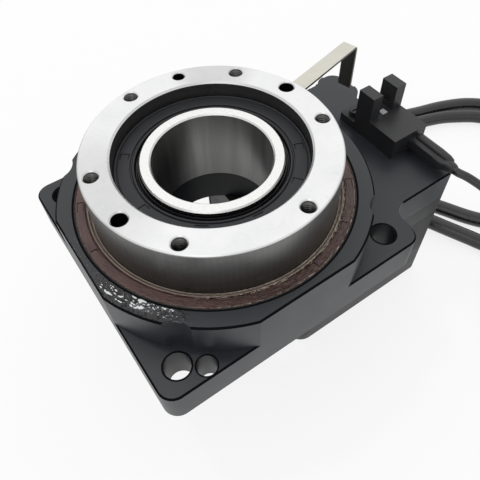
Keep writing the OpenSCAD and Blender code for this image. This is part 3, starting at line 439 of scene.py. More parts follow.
# %% Profile of a seal, from rim to lip
SEAL_PROFILE = [
    (0.0, -3.4), (0.0, -0.3), (0.015, -0.1), (0.04, -0.02), (0.085, -0.02), (0.1, -0.1),
    (0.11, -0.3), (0.135, -0.3), (0.145, -0.12), (0.16, -0.08), (0.2, -0.08), (0.205, -0.08),
    (0.25, -0.08), (0.255, -0.08), (0.535, -0.08), (0.54, -0.08), (0.585, -0.08), (0.59, -0.08),
    (0.625, -0.08), (0.64, -0.14), (0.655, -0.5), (0.7, -0.55), (0.715, -0.3), (0.735, -0.18),
    (0.77, -0.14), (0.81, -0.24), (0.83, -0.6), (0.86, -1.15), (0.895, -1.2), (0.915, -0.62),
    (0.94, -0.42), (0.97, -0.42), (0.99, -0.6), (1.0, -0.85), (0.99, -1.3), (0.93, -1.7),
    (0.91, -3.0), (0.8, -3.4),
]
PROFILE_HEIGHT = 3.6
# The flat band's outer and inner edge, where marks run along it, as shares of the width
BAND_OUT, BAND_IN = (0.2, 0.255), (0.535, 0.59)
MARK_DEPTH, BAR_HALF, LEG_DEGREES, EDGE_DEGREES = 0.32, 0.14, 5, 0.03


# %% A seal with moulded marks
def seal(name, node, body, slot, rim_r, lip_r, top, height, brackets, arcs):
    """Ring surface with grooves. A bracket is (angle, turn, both): a bar across the band at
    that angle, and a leg along its inner edge, or along both edges, in the turn's direction.
    An arc is (from, to) along the inner edge. A grid point in a groove lies a mark's depth
    below the top, and the points just outside it stay up, so its walls are steep."""
    middle_r = 0.6 * rim_r + 0.4 * lip_r
    half = math.degrees(BAR_HALF / middle_r)
    cuts = [(a - half, a + half, BAND_OUT[0], BAND_IN[1]) for a, _, _ in brackets]
    for a, turn, both in brackets:
        span = sorted((a, a + LEG_DEGREES * turn))
        cuts += [(*span, *BAND_OUT)] * both + [(*span, *BAND_IN)]
    cuts += [(*span, *BAND_IN) for span in arcs]
    edges = [a + d for cut in cuts for a in cut[:2] for d in (-EDGE_DEGREES, EDGE_DEGREES)]
    degrees = np.unique(np.round(np.concatenate([np.arange(0, 360, 0.75), edges]) % 360, 3))
    shares, drops = np.array(SEAL_PROFILE).T
    profile = np.stack([rim_r - shares * (rim_r - lip_r), top + drops * height / PROFILE_HEIGHT], 1)
    grid = ring_grid(profile, degrees)
    for start, stop, near, far in cuts:
        inside = (degrees > start - 0.01) & (degrees < stop + 0.01)
        deep = (shares > near + 0.001) & (shares < far - 0.001)
        grooved = np.outer(deep, inside)
        grid[..., 2] = np.where(grooved, top - MARK_DEPTH, grid[..., 2])
    ring = make_piece(name, body, slot, sheet(grid, wrap_rows=True))
    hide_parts(node)


seal(
    "outer_seal_ring", "outer_oil_seal", "base", "seal_brown", 39.98, 35.05, 24.3, 3.6,
    [(153.7, 1, True), (180.5, 1, False), (279.4, -1, False), (303.8, -1, False), (327.8, -1, True)],
    [],
)
seal(
    "inner_seal_ring", "inner_oil_seal", "table", "seal_black", 26.58, 19.75, 35.0, 4.0,
    [(139.5, 1, True), (188.5, 1, False), (306.3, -1, False), (337.8, -1, True)],
    [(226.3, 235), (263.3, 270.8)],
)

# %% [markdown]
# ## Oil on the boss
# The seal's grease has crept out on one side of the boss. It lies in drops and beads that run
# together, so its surface is a sum of low smooth bumps. The base level is just below the
# metal, and the film shows only where the bumps rise through it, which gives ragged edges.


# %% Film of oil
BOSS_TOP, OIL_IN, OIL_OUT, FLAT_X = 24.3, 40.15, 43.7, 42.1
SUNK, TALLEST = -0.05, 0.3
# Share of the bumps, first and last degree, then the ranges of length, width and height
BUMPS = [
    (0.15, (195, 213), (0.34, 0.8), (0.16, 0.28), (0.13, 0.27)),
    (0.6, (208, 223), (0.1, 0.26), (0.1, 0.2), (0.06, 0.19)),
    (0.25, (171, 225), (0.12, 0.3), (0.12, 0.22), (0.08, 0.22)),
]


def oil_film(first, last, count, seed):
    """Height = low + sum of h exp(-(along / a)^2 - (across / b)^2) over seeded bumps: long
    drops, then a crust of grains, and a few specks all along. A hyperbolic tangent keeps it
    under the tallest drop. The boss has a flat on its left, so the film's outer edge is also
    kept inside x = -FLAT_X."""
    random = np.random.default_rng(seed)
    turn = np.radians(np.arange(first, last, 0.15))[:, None]
    outer = np.minimum(OIL_OUT, FLAT_X / np.abs(np.cos(turn)))
    r = OIL_IN + (outer - OIL_IN) * np.linspace(0, 1, 32)[None, :]
    z = np.full(r.shape, SUNK)
    for share, degrees, *ranges in BUMPS:
        for _ in range(round(share * count)):
            at = math.radians(random.uniform(*degrees))
            out = random.uniform(OIL_IN + 0.4, OIL_OUT - 0.3)
            long, wide, high = (random.uniform(*limits) for limits in ranges)
            along, across = (turn - at) * out, r - out
            z += high * np.exp(-((along / long) ** 2) - (across / wide) ** 2)
    z = TALLEST * np.tanh(z / TALLEST)
    z[:, [0, -1]] = z[[0, -1]] = SUNK
    surface = np.stack([r * np.cos(turn), r * np.sin(turn), BOSS_TOP + z], -1)
    below = 0 * turn + BOSS_TOP - 0.3
    rims = [np.hstack([k * np.cos(turn), k * np.sin(turn), below]) for k in (outer, OIL_IN)]
    return np.concatenate([surface, np.stack(rims, 1)], 1)


film = make_piece("oil_film", "base", None, sheet(oil_film(168, 240, 300, 7)))

# %% [markdown]
# ## Threads
# A thread is a wall whose radius depends on the angle and the height together: the groove
# climbs one pitch in one turn. The lining is a thin closed tube that stands in the drilled
# hole, so the hole itself stays as the CAD part has it.


# %% Thread linings in the six tapped holes
HOLE_CIRCLE, FIRST_HOLE = 31.7, -16
THREAD_TOP, THREAD_BOTTOM = 39.15, 31.6
PITCH, WALL_R, OUTSIDE_R, THREAD_DEPTH = 0.7, 1.885, 1.895, 0.3


def thread_grid(x, y, top, bottom):
    """Radius = wall - depth * triangle wave of (height / pitch - angle / turn), and a plain
    outer wall. The wave fades out at the mouth, where the countersink is."""
    a = circle(28)[None, :]
    z = np.arange(top, bottom, -PITCH / 8)[:, None]
    wave = np.abs(((z / PITCH - a / (2 * np.pi)) % 1) * 2 - 1)
    fade = np.clip((top - z) / 0.5, 0, 1)
    r = WALL_R - THREAD_DEPTH * fade * np.clip(1.25 * wave, 0, 1)
    inner = np.stack([x + r * np.cos(a), y + r * np.sin(a), z + 0 * a], -1)
    rim = np.stack([x + OUTSIDE_R * np.cos(a), y + OUTSIDE_R * np.sin(a), 0 * a], -1)
    low, high = rim + [0, 0, bottom + 0.05], rim + [0, 0, top]
    return np.concatenate([low, high, inner], 0)


holes = np.radians(FIRST_HOLE + 60 * np.arange(6))
centres = [(HOLE_CIRCLE * math.cos(a), HOLE_CIRCLE * math.sin(a)) for a in holes]
grids = [thread_grid(x, y, THREAD_TOP, THREAD_BOTTOM) for x, y in centres]
make_piece("thread_linings", "table", "ground_steel", *(sheet(g, wrap_rows=True) for g in grids))

# %% [markdown]
# ## Broken edges
# Real castings and mouldings never have a knife edge. The motor's blocks and the sensor's
# housing are copies of the CAD solids with a narrow bevel, which also opens the fine dark
# line that shows where two blocks meet. Loose triangles are merged first, since a bevel
# only finds an edge that two faces share.


# %% Copies with bevelled edges
SLOT_OF = {part["node"]: part["material_slot"] for part in frame["record"]["subparts"]}
BLOCKS = [
    ("motor_flange", 0.35), ("motor_stator", 0.25), ("motor_rear_bell", 0.25),
    ("encoder_cover", 0.35), ("sensor_body", 0.18),
]


def broken_edges(node, width):
    """Copy of a CAD solid, its doubles merged, with a bevel on every edge over 40 degrees."""
    mesh = NODES[node].data.copy()
    shape = bmesh.new()
    shape.from_mesh(mesh)
    bmesh.ops.remove_doubles(shape, verts=shape.verts, dist=2e-6)
    bmesh.ops.dissolve_limit(shape, angle_limit=0.002, verts=shape.verts, edges=shape.edges)
    shape.to_mesh(mesh)
    shape.free()
    piece = bpy.data.objects.new(node + "_block", mesh)
    bevel = piece.modifiers.new("edge", "BEVEL")
    bevel.width, bevel.segments, bevel.limit_method = width * MM, 2, "ANGLE"
    bevel.angle_limit, bevel.harden_normals = math.radians(40), False
    bevel.use_clamp_overlap = True
    place_piece(piece, "base", SLOT_OF[node])
    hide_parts(node)
    print(f"{node}: {len(mesh.polygons)} faces before its bevel")


for node, width in BLOCKS:
    broken_edges(node, width)

# %% [markdown]
# ## A way to write finishes
# A finish is a small calculation: noise, masks and mixes that end in colour, roughness and
# height. Python operators say such a calculation best, so an output socket is wrapped in a
# class whose +, - and * add the Math nodes, and one method adds every other node.


# %% Values that add their own nodes
class Value:
    """An output socket that can be added, multiplied and so on."""

    def __init__(self, graph, socket):
        self.graph, self.socket = graph, socket

    def __add__(self, other):
        return self.graph.math("ADD", self, other)

    def __sub__(self, other):
        return self.graph.math("SUBTRACT", self, other)

    def __rsub__(self, other):
        return self.graph.math("SUBTRACT", other, self)

    def __mul__(self, other):
        return self.graph.math("MULTIPLY", self, other)

    __radd__, __rmul__ = __add__, __mul__


class Graph:
    """A node tree, with the few patterns that the finishes share."""

    def __init__(self, tree):
        self.tree = tree

    def node(self, kind, settings=None, inputs=None, output=0):
        """Adds a node, sets its settings first, then types in or links its sockets."""
        new = self.tree.nodes.new("ShaderNode" + kind)
        for key, value in (settings or {}).items():
            setattr(new, key, value)
        for key, value in (inputs or {}).items():
            self.feed(new.inputs[key], value)
        return Value(self, new.outputs[output])

    def feed(self, socket, value):
        """Links a value to a socket, or types a number or a colour into it."""
        if isinstance(value, Value):
            self.tree.links.new(value.socket, socket)
        elif socket.type == "RGBA":
            socket.default_value = (*value, 1)
        else:
            socket.default_value = value

    def math(self, operation, *values):
        """One Math node."""
        return self.node("Math", {"operation": operation}, dict(enumerate(values)))

    def most(self, *values):
        """The largest of the values."""
        return functools.reduce(functools.partial(self.math, "MAXIMUM"), values)

    def mix(self, share, a, b):
        """Colour a where the share is 0, and b where it is 1."""
        return self.node("Mix", {"data_type": "RGBA"}, {0: share, 6: a, 7: b}, 2)

    def ease(self, value, low, high):
        """Goes from 0 at low to 1 at high along 3t^2 - 2t^3, where t is the share of the way."""
        inputs = {"Value": value, "From Min": low, "From Max": high}
        return self.node("MapRange", {"interpolation_type": "SMOOTHSTEP"}, inputs)


# %% A material with its coordinates
class Finish(Graph):
    """A Principled material: constants go on the shader's own sockets, and paint() links
    what changes over the surface."""

    def __init__(self, name, **constants):
        self.material = bpy.data.materials.new(name)
        self.material.use_nodes = True
        super().__init__(self.material.node_tree)
        self.shader = self.tree.nodes["Principled BSDF"]
        for key, value in constants.items():
            self.feed(self.shader.inputs[key.replace("_", " ")], value)
        self.place = self.node("TexCoord", output="Object")
        self.x, self.y, self.z = (self.node("SeparateXYZ", None, {0: self.place}, k) for k in range(3))

    def noise(self, size, detail=2, place=None):
        """Cloudy noise from 0 to 1, with blotches about size millimetres across."""
        inputs = {"Vector": place or self.place, "Scale": 1 / (size * MM), "Detail": detail}
        return self.node("TexNoise", None, inputs)

    def vector(self, x, y, z):
        """Three values as one vector."""
        return self.node("CombineXYZ", None, {0: x, 1: y, 2: z})

    def polar(self, x=0, y=0):
        """Radius and angle round an upright axis at x, y."""
        across, ahead = self.x - x * MM, self.y - y * MM
        radius = self.math("SQRT", across * across + ahead * ahead)
        return radius, self.math("ARCTAN2", ahead, across)

    def tilt(self):
        """How far a face looks up or down, from 0 on upright ones to 1 on level ones."""
        normal = self.node("NewGeometry", output="True Normal")
        return self.math("ABSOLUTE", self.node("SeparateXYZ", None, {0: normal}, 2))

    def facing_up(self):
        """1 on level faces and 0 on upright ones."""
        return self.ease(self.tilt(), 0.5, 0.8)

    def ramp(self, value, low, high):
        """Goes from 0 at the first length to 1 at the second, both in millimetres."""
        return self.ease(value, low * MM, high * MM)

    def wave(self, value, length):
        """Sine between 0 and 1 that repeats every length millimetres."""
        return self.math("SINE", value * (2 * math.pi / (length * MM))) * 0.5 + 0.5

    def between(self, value, near, far, edge):
        """1 between two lengths in millimetres, with a soft edge of this width inside each."""
        return self.ramp(value, near, near + edge) * self.ramp(value, far, far - edge)

    def cover(self, share, other):
        """Where the share is 1, the surface is this other shader instead."""
        own = Value(self, self.shader.outputs[0])
        both = self.node("MixShader", None, {0: share, 1: own, 2: other})
        self.feed(self.tree.nodes["Material Output"].inputs["Surface"], both)

    def paint(self, depth=0.1, **links):
        """Links values to Base_Color, Roughness and so on. height is a value from 0 to 1
        whose full range is depth millimetres of relief."""
        height = links.pop("height", None)
        for key, value in links.items():
            self.feed(self.shader.inputs[key.replace("_", " ")], value)
        if height is not None:
            bump = self.node("Bump", None, {"Distance": depth * MM, "Height": height})
            self.feed(self.shader.inputs["Normal"], bump)
        return self.material


print("finish helpers ready")

# %% [markdown]
# ## The dark finishes
# Black anodised aluminium is a matt dye in a glass-hard skin: a nearly black colour, a fine
# blasted grain, and slightly uneven dye. The seal's grease has been pushed out on one side
# of the boss, where it lies as a wet film with drops.


# %% Where painted shade makes the anodised skin deep black
# The holes in the ears are as far out in x as in y
EAR_HOLE, LOCATING_HOLE = 35, (-28.9, -39.2)


def painted_shade_edges(f, radius):
    """1 on the narrow chamfers, round the mouths of the ears' holes and in the seal's seat, and less
    on the walls of those holes and of the hollow. These places are painted deep black, as
    shade."""
    tilt = f.tilt()
    chamfer = f.ease(tilt, 0.6, 0.66) * f.ease(tilt, 0.82, 0.76)
    across, ahead = (f.math("ABSOLUTE", v) - EAR_HOLE * MM for v in (f.x, f.y))
    ear_hole = f.math("SQRT", across * across + ahead * ahead)
    pin_hole, _ = f.polar(*LOCATING_HOLE)
    level = f.ease(tilt, 0.9, 0.98) * f.ramp(f.z, 13, 12.5)
    mouth = f.ramp(ear_hole, 4.1, 4.0) + f.ramp(pin_hole, 3.15, 3.05)
    bored = f.ramp(ear_hole, 3.6, 3.4) * 0.7
    seat = f.ramp(radius, 40.5, 40.38) * f.ramp(radius, 38, 38.1)
    chamfer = f.most(chamfer, seat * f.ramp(f.z, 23, 23.5))
    hollow = f.ramp(radius, 18.6, 18.2) * 0.6
    return f.math("MINIMUM", f.most(chamfer + mouth * level, hollow, bored), 0.95)


# %% Anodised housing with a film of oil
# Angle of the middle of the oil, in degrees
OIL_MIDDLE = -151


def black_anodised():
    """Oil wets the belt round the seal where the angle is within about 20 degrees of its
    middle, with a ragged edge from noise. There the skin turns glossy, beads of sharpened
    noise stand up, and the ends of the patch are smeared. Painted shade in deep black covers
    painted_shade_edges."""
    f = Finish("black_anodised", IOR=1.5, Specular_IOR_Level=0.5)
    radius, angle = f.polar()
    cloud, grain, fleck = f.noise(9, 3), f.noise(0.16, 1), f.noise(0.7, 2)
    drops, ragged = f.noise(0.85, 2), f.noise(2.2, 3)
    turn = f.math("ABSOLUTE", angle - math.radians(OIL_MIDDLE))
    sector = f.ease(turn + (ragged - 0.5) * 0.35, math.radians(22), math.radians(13))
    belt = f.ramp(radius, 39.8, 40.2) * f.ramp(f.z, 23.6, 24.1)
    oil = sector * belt
    wet = oil * f.ease(ragged, 0.36, 0.5)
    smear = oil * f.ease(turn, math.radians(7), math.radians(14))
    colour = f.mix(cloud, (0.0105, 0.0125, 0.0165), (0.0150, 0.0172, 0.0215))
    colour = f.mix(f.ease(fleck, 0.62, 0.72) * 0.35, colour, (0.028, 0.032, 0.037))
    colour = f.mix(wet, colour, (0.006, 0.006, 0.007))
    rough = 0.42 + (cloud - 0.5) * 0.12 + (grain - 0.5) * 0.1
    rough = rough * (1 - wet * 0.88)
    beads = f.ease(drops, 0.48, 0.66) * wet
    height = grain * 0.012 + beads * 0.5 + smear * fleck * 0.25
    # Painted shade: a near-black matt cover on the chamfers, the holes' mouths and walls, the hollow
    # and the seal's seat
    f.cover(painted_shade_edges(f, radius), f.node("BsdfDiffuse", None, {"Color": (0.003, 0.0032, 0.004)}))
    return f.paint(Base_Color=colour, Roughness=rough, height=height, depth=0.3)


# %% Motor paint, with the stator's laminations
def motor_black():
    """Between the flange and the bell the height is a fine sine of z, one wave for each
    lamination of half a millimetre."""
    f = Finish("motor_black", IOR=1.48, Specular_IOR_Level=0.3)
    cloud, grain = f.noise(7, 3), f.noise(0.22, 2)
    stack = f.between(f.z, -27.7, -8.3, 0.2)
    plates = f.wave(f.z, 0.5)
    colour = f.mix(cloud, (0.014, 0.0145, 0.016), (0.022, 0.0225, 0.024))
    colour = f.mix(stack * plates * 0.5, colour, (0.008, 0.008, 0.009))
    rough = 0.44 + (cloud - 0.5) * 0.14 + stack * 0.06
    height = grain * 0.35 + stack * plates
    return f.paint(Base_Color=colour, Roughness=rough, height=height, depth=0.05)


# %% Moulded plastic, cable jacket and rubber
# Height of the floor of a seal's flat band, and the radii between which its marks lie
OUTER_BAND, INNER_BAND = (24.22, 36.95, 39.1), (34.91, 22.45, 25.3)


def groove(f, radius, face, near, far):
    """1 in the moulded marks of a seal: below its face, between two radii, in millimetres."""
    return f.ramp(f.z, face - 0.06, face - 0.16) * f.between(radius, near, far, 0.06)


def plug_black():
    """Spark-eroded mould grain: noise at two small sizes, and a faint satin patchiness."""
    f = Finish("plug_black", IOR=1.5, Specular_IOR_Level=0.42)
    cloud, grain = f.noise(4, 3), f.noise(0.12, 2)
    colour = f.mix(cloud, (0.012, 0.0125, 0.014), (0.021, 0.0215, 0.023))
    rough = 0.4 + (cloud - 0.5) * 0.16 + (grain - 0.5) * 0.08
    return f.paint(Base_Color=colour, Roughness=rough, height=grain, depth=0.014)


def cable_black():
    """Soft PVC: a broad sheen, dust in faint blotches and an extruded jacket's slight
    unevenness along its length."""
    f = Finish("cable_black", IOR=1.52)
    cloud, grain, dust = f.noise(11, 3), f.noise(0.35, 2), f.noise(1.6, 3)
    colour = f.mix(cloud, (0.010, 0.010, 0.011), (0.017, 0.017, 0.018))
    colour = f.mix(f.ease(dust, 0.6, 0.75) * 0.3, colour, (0.045, 0.045, 0.044))
    rough = 0.19 + (cloud - 0.5) * 0.16 + f.ease(dust, 0.5, 0.8) * 0.2
    return f.paint(Base_Color=colour, Roughness=rough, height=grain * 0.4 + dust, depth=0.05)


def seal_black():
    """Nitrile rubber: moulded matt face, glossier where the lip wipes, thin turned rings."""
    f = Finish("seal_black", IOR=1.5, Specular_IOR_Level=0.36)
    radius, _ = f.polar()
    cloud, grain = f.noise(5, 3), f.noise(0.3, 2)
    rings = f.wave(radius, 0.42)
    wiped = f.ramp(radius, 21.6, 20.6)
    colour = f.mix(cloud, (0.0125, 0.013, 0.0155), (0.02, 0.021, 0.024))
    colour = f.mix(wiped * 0.7, colour, (0.005, 0.005, 0.006))
    # Painted shade darkens the moulded marks
    colour = f.mix(groove(f, radius, *INNER_BAND) * 0.8, colour, (0.003, 0.003, 0.003))
    rough = 0.46 + (cloud - 0.5) * 0.16 - wiped * 0.2
    height = grain * 0.5 + rings * 0.18
    return f.paint(Base_Color=colour, Roughness=rough, height=height, depth=0.04)


def seal_brown():
    """Fluoro rubber in red-brown, with grease in streaks that follow the ring: noise on a
    small share of the angle and nearly all of the radius. The front is darker and redder as painted
    shade. The lip is painted cream and the rim has a broken pale line, both painted highlights; painted
    glints of cream lie on the edges in front, and painted shade makes the gap outside the rim nearly
    black."""
    f = Finish("seal_brown", IOR=1.5)
    radius, angle = f.polar()
    around = f.vector(angle * 0.012, radius * 0.9, f.z)
    streak, cloud, grain = f.noise(0.5, 3, around), f.noise(5, 3), f.noise(0.3, 2)
    front = f.ease(f.math("ABSOLUTE", angle + math.radians(82)), math.radians(75), math.radians(20))
    wet = f.ease(streak, 0.5, 0.62) * (0.25 + front * 0.75)
    colour = f.mix(f.ease(cloud, 0.25, 0.75), (0.052, 0.020, 0.017), (0.098, 0.048, 0.041))
    # Painted shade: the front of the ring darker and redder
    colour = f.mix(front * 0.65, colour, (0.042, 0.012, 0.008))
    colour = f.mix(wet * 0.6, colour, (0.022, 0.010, 0.008))
    # Painted shade darkens the moulded marks
    colour = f.mix(groove(f, radius, *OUTER_BAND) * 0.85, colour, (0.012, 0.005, 0.004))
    lip = f.ramp(radius, 36.4, 36.2)
    rim = f.between(radius, 39.2, 39.6, 0.1)
    # Painted highlights: the lip cream, and a broken pale line on the rim
    colour = f.mix(lip * (0.55 + streak * 0.45), colour, (0.30, 0.25, 0.205))
    colour = f.mix(rim * f.ease(streak, 0.4, 0.6) * 0.7, colour, (0.24, 0.18, 0.155))
    # Painted glints of cream on the edges in front
    cream_glint = f.ease(f.noise(0.28, 3, f.vector(angle * 0.008, radius, f.z)), 0.5, 0.6) * front
    step = f.ramp(radius, 36.3, 36.4) * f.ramp(radius, 36.85, 36.7)
    edges = f.most(rim, step, lip * 0.5)
    colour = f.mix(cream_glint * (0.06 + edges * 0.9), colour, (0.66, 0.57, 0.47))
    # Painted shade: the gap outside the rim nearly black
    gap = f.ramp(radius, 39.5, 39.62)
    colour = f.mix(gap * 0.95, colour, (0.004, 0.003, 0.003))
    rough = 0.42 + (cloud - 0.5) * 0.2 - wet * 0.34 + gap * 0.3
    height = grain * 0.4 + streak * (0.4 + wet)
    return f.paint(Base_Color=colour, Roughness=rough, height=height, depth=0.15)


# %% [markdown]
# ## The bare metals
# Metal shows how it was made. A lathe leaves rings round the axis, a hone leaves marks
# along it, and a grinding wheel leaves a short dense scratch. Each mark is a noise that is
# stretched along the tool's path, and it changes roughness and height far more than colour.


# %% Turned and ground steel
def turned(name, low, high, rough, swing, ring=0.11, shade=None):
    """Level faces: noise on the radius. Upright faces: noise on the height. Both are blurred
    along the angle, so the marks run round the axis. shade gives the share of painted shade,
    and with it the upright wall outside is a little less of a metal towards its top."""
    f = Finish(name, IOR=1.6, Metallic=1.0)
    radius, angle = f.polar()
    level = f.facing_up()
    facing = f.noise(ring, 2, f.vector(radius, angle * 0.0022, 0.0))
    turning = f.noise(ring, 2, f.vector(f.z, angle * 0.0005, 0.01))
    lines = facing * level + turning * (1 - level)
    cloud, stain = f.noise(7, 3), f.noise(2.3, 4)
    tone = (lines - 0.5) * swing + (cloud - 0.5) * 0.5 + 0.5
    colour = f.mix(f.ease(tone, 0.1, 0.9), low, high)
    colour = f.mix(f.ease(stain, 0.63, 0.75) * 0.16, colour, [v * 0.72 for v in low])
    if shade:
        # Painted shade in dark grey, by the share that shade gives
        colour = f.mix(shade(f, radius, angle, level), colour, (0.05, 0.05, 0.046))
        haze = f.ramp(radius, 34.3, 34.6) * (1 - level) * f.ramp(f.z, 24, 39)
        f.paint(Metallic=1 - haze * 0.2)
    spread = rough + (lines - 0.5) * 0.12 + (cloud - 0.5) * 0.08
    return f.paint(Base_Color=colour, Roughness=spread, height=lines, depth=0.006)


def table_shade(f, radius, angle, level):
    """Painted shade darkens the tapped holes and the wall of the recess, and in two sectors of
    the top it stands in for a dimmer reflection of the grinding."""
    hole = f.ramp(f.z, 39.4, 39.15) * f.between(radius, 28.3, 35.3, 0.4)
    recess = f.ramp(radius, 27.7, 27.4) * (1 - level) * 0.75
    sector_shade = f.ease(f.math("COSINE", angle - math.radians(56)), 0.9, 1.0) * level * 0.24
    sector_shade = sector_shade + f.ease(f.math("COSINE", angle - math.radians(175)), 0.7, 1.0) * level * 0.2
    return f.most(hole * 0.9, recess, sector_shade)


def bright_steel():
    """The sleeve: its rim is faced, and its bore is honed along the axis, so there the noise
    is on the angle, in fine lines. The bore is painted dark as a reflection, with broad bands of
    painted reflection, and painted shade darkens it deep down and on the outside wall."""
    f = Finish("bright_steel", IOR=1.6, Metallic=1.0)
    radius, angle = f.polar()
    level = f.facing_up()
    facing = f.noise(0.12, 2, f.vector(radius, angle * 0.002, 0.0))
    honing = f.noise(0.3, 3, f.vector(angle * 0.0165, f.z * 0.03, 0.02))
    reflection_bands = f.noise(6, 2, f.vector(angle * 0.0165, f.z * 0.08, 0.05))
    bore = (1 - level) * f.ramp(radius, 17, 16.8)
    outside = (1 - level) * f.ramp(radius, 18.6, 18.9)
    lines = facing * level + honing * bore + outside * 0.5
    deep = f.ramp(f.z, 34, 8)
    colour = f.mix(f.ease(lines, 0.25, 0.75), (0.66, 0.66, 0.65), (0.8, 0.8, 0.79))
    # Painted reflection: the bore dark, with broad bands
    colour = f.mix(bore * (0.58 + f.ease(reflection_bands, 0.35, 0.65) * 0.24), colour, (0.13, 0.132, 0.125))
    # Painted shade deep in the bore and on the outside wall
    colour = f.mix(f.most(bore * deep * 0.7, outside * 0.8), colour, (0.06, 0.06, 0.06))
    rough = 0.27 + (lines - 0.5) * 0.14 + bore * 0.1
    return f.paint(Base_Color=colour, Roughness=rough, height=lines, depth=0.006)


def flag_strip():
    """Rolled spring steel with a warm film: rolling lines along the strip, and painted shade on its
    upright faces.
    """
    f = Finish("flag_strip", IOR=1.6, Metallic=0.85)
    lines = f.noise(0.2, 3, f.vector(f.x * 0.06, f.y, f.z))
    cloud = f.noise(5, 3)
    colour = f.mix(lines, (0.50, 0.485, 0.43), (0.62, 0.60, 0.54))
    colour = f.mix(f.ease(cloud, 0.5, 0.75) * 0.3, colour, (0.45, 0.43, 0.37))
    # Painted shade: upright faces dark
    colour = f.mix((1 - f.facing_up()) * 0.85, colour, (0.07, 0.07, 0.062))
    return f.paint(Base_Color=colour, Roughness=0.36 + (cloud - 0.5) * 0.2, height=lines, depth=0.008)


# %% Copper wire, magnet, coded disc and board
MOTOR_X, SLITS = 40.8, 180


def copper_wire():
    """Enamelled wire: a sine of the height draws the layers of turns."""
    f = Finish("copper_wire", IOR=1.5, Metallic=0.9)
    turns = f.wave(f.z, 0.6)
    cloud = f.noise(3, 2)
    colour = f.mix(turns * 0.6 + cloud * 0.4, (0.3, 0.12, 0.04), (0.78, 0.4, 0.18))
    return f.paint(Base_Color=colour, Roughness=0.24 + cloud * 0.2, height=turns, depth=0.2)


def magnet_iron():
    """Sintered magnet: a dark grey metal with pores and fine grinding lines."""
    f = Finish("magnet_iron", IOR=1.6, Metallic=0.8)
    pores, lines = f.noise(0.25, 3), f.noise(0.1, 2, f.vector(f.z, f.x * 0.02, f.y * 0.02))
    colour = f.mix(f.ease(pores, 0.3, 0.7), (0.12, 0.12, 0.13), (0.3, 0.3, 0.31))
    rough, height = 0.35 + pores * 0.2, pores + lines * 0.4
    return f.paint(Base_Color=colour, Roughness=rough, height=height, depth=0.02)


def disc_steel():
    """Coded disc: dark slits by a sine of the angle, in one band of the radius."""
    f = Finish("disc_steel", IOR=1.6, Metallic=1.0)
    radius, angle = f.polar(MOTOR_X)
    slits = f.ease(f.math("SINE", angle * SLITS), -0.1, 0.1) * f.between(radius, 10.4, 12.4, 0.1)
    cloud = f.noise(1.5, 3)
    colour = f.mix(cloud, (0.56, 0.57, 0.57), (0.68, 0.69, 0.68))
    colour = f.mix(slits, colour, (0.02, 0.02, 0.02))
    return f.paint(Base_Color=colour, Roughness=0.2 + cloud * 0.2, height=slits, depth=0.03)


def board_green():
    """Circuit board: solder mask over raised tracks, which are the borders of cells."""
    f = Finish("board_green", IOR=1.5)
    cell = f.node("TexVoronoi", {"distance": "CHEBYCHEV"}, {"Vector": f.place, "Scale": 420.0})
    track = f.ease(cell, 0.36, 0.42)
    colour = f.mix(track, (0.012, 0.07, 0.03), (0.03, 0.16, 0.07))
    colour = f.mix(f.noise(3, 2) * 0.3, colour, (0.01, 0.05, 0.03))
    return f.paint(Base_Color=colour, Roughness=0.28 + f.noise(0.5, 2) * 0.15, height=track, depth=0.04)


# %% Oil and window
# Height above which the drops' tops take a painted highlight
OIL_GLINT_LEVEL = BOSS_TOP + 0.1


def oil():
    """Glossy grease: black where it is thin, grey with dust at the end where it has dried,
    and painted pale on top of the high drops as their glints."""
    f = Finish("oil", IOR=1.5)
    _, angle = f.polar()
    cloud, dust = f.noise(3, 3), f.noise(0.3, 2)
    dry = f.ease(angle, math.radians(-153), math.radians(-148))
    colour = f.mix(cloud, (0.006, 0.006, 0.006), (0.016, 0.015, 0.013))
    colour = f.mix(dry * dust * 0.8, colour, (0.2, 0.21, 0.22))
    # Painted highlights: pale tops of the high drops
    colour = f.mix(f.ramp(f.z, OIL_GLINT_LEVEL, OIL_GLINT_LEVEL + 0.05), colour, (0.8, 0.82, 0.83))
    rough = 0.04 + f.ease(cloud, 0.5, 0.75) * 0.2
    return f.paint(Base_Color=colour, Roughness=rough, height=dust, depth=0.01)


def window_grey():
    """Filter windows on the posts are nearly black, and the lamp's lens below is milky, painted paler
    as its glint.
    """
    f = Finish("window_grey", IOR=1.5)
    cloud, grain = f.noise(1.2, 2), f.noise(0.2, 2)
    # The lens's colour is its milky tone, painted paler as its glint
    lens = f.mix(cloud, (0.34, 0.34, 0.36), (0.46, 0.46, 0.48))
    colour = f.mix(f.ramp(f.z, 19.6, 20.0), lens, (0.011, 0.011, 0.012))
    return f.paint(Base_Color=colour, Roughness=0.2 + cloud * 0.15, height=grain, depth=0.01)


# %% Small plain finishes with their own grain
def grained(name, low, high, rough, size, depth, metallic=0.0):
    """Two tones and a roughness that follow one cloud and one grain."""
    f = Finish(name, IOR=1.5, Metallic=metallic)
    cloud, grain = f.noise(size * 8, 3), f.noise(size, 2)
    colour = f.mix(cloud * 0.7 + grain * 0.3, low, high)
    return f.paint(Base_Color=colour, Roughness=rough + (grain - 0.5) * 0.15, height=grain, depth=depth)


# %% One finish for each name in the record
PAINTERS = [
    black_anodised, motor_black, bright_steel, seal_black, seal_brown, magnet_iron, disc_steel,
    copper_wire, board_green, cable_black, plug_black, window_grey, flag_strip,
]
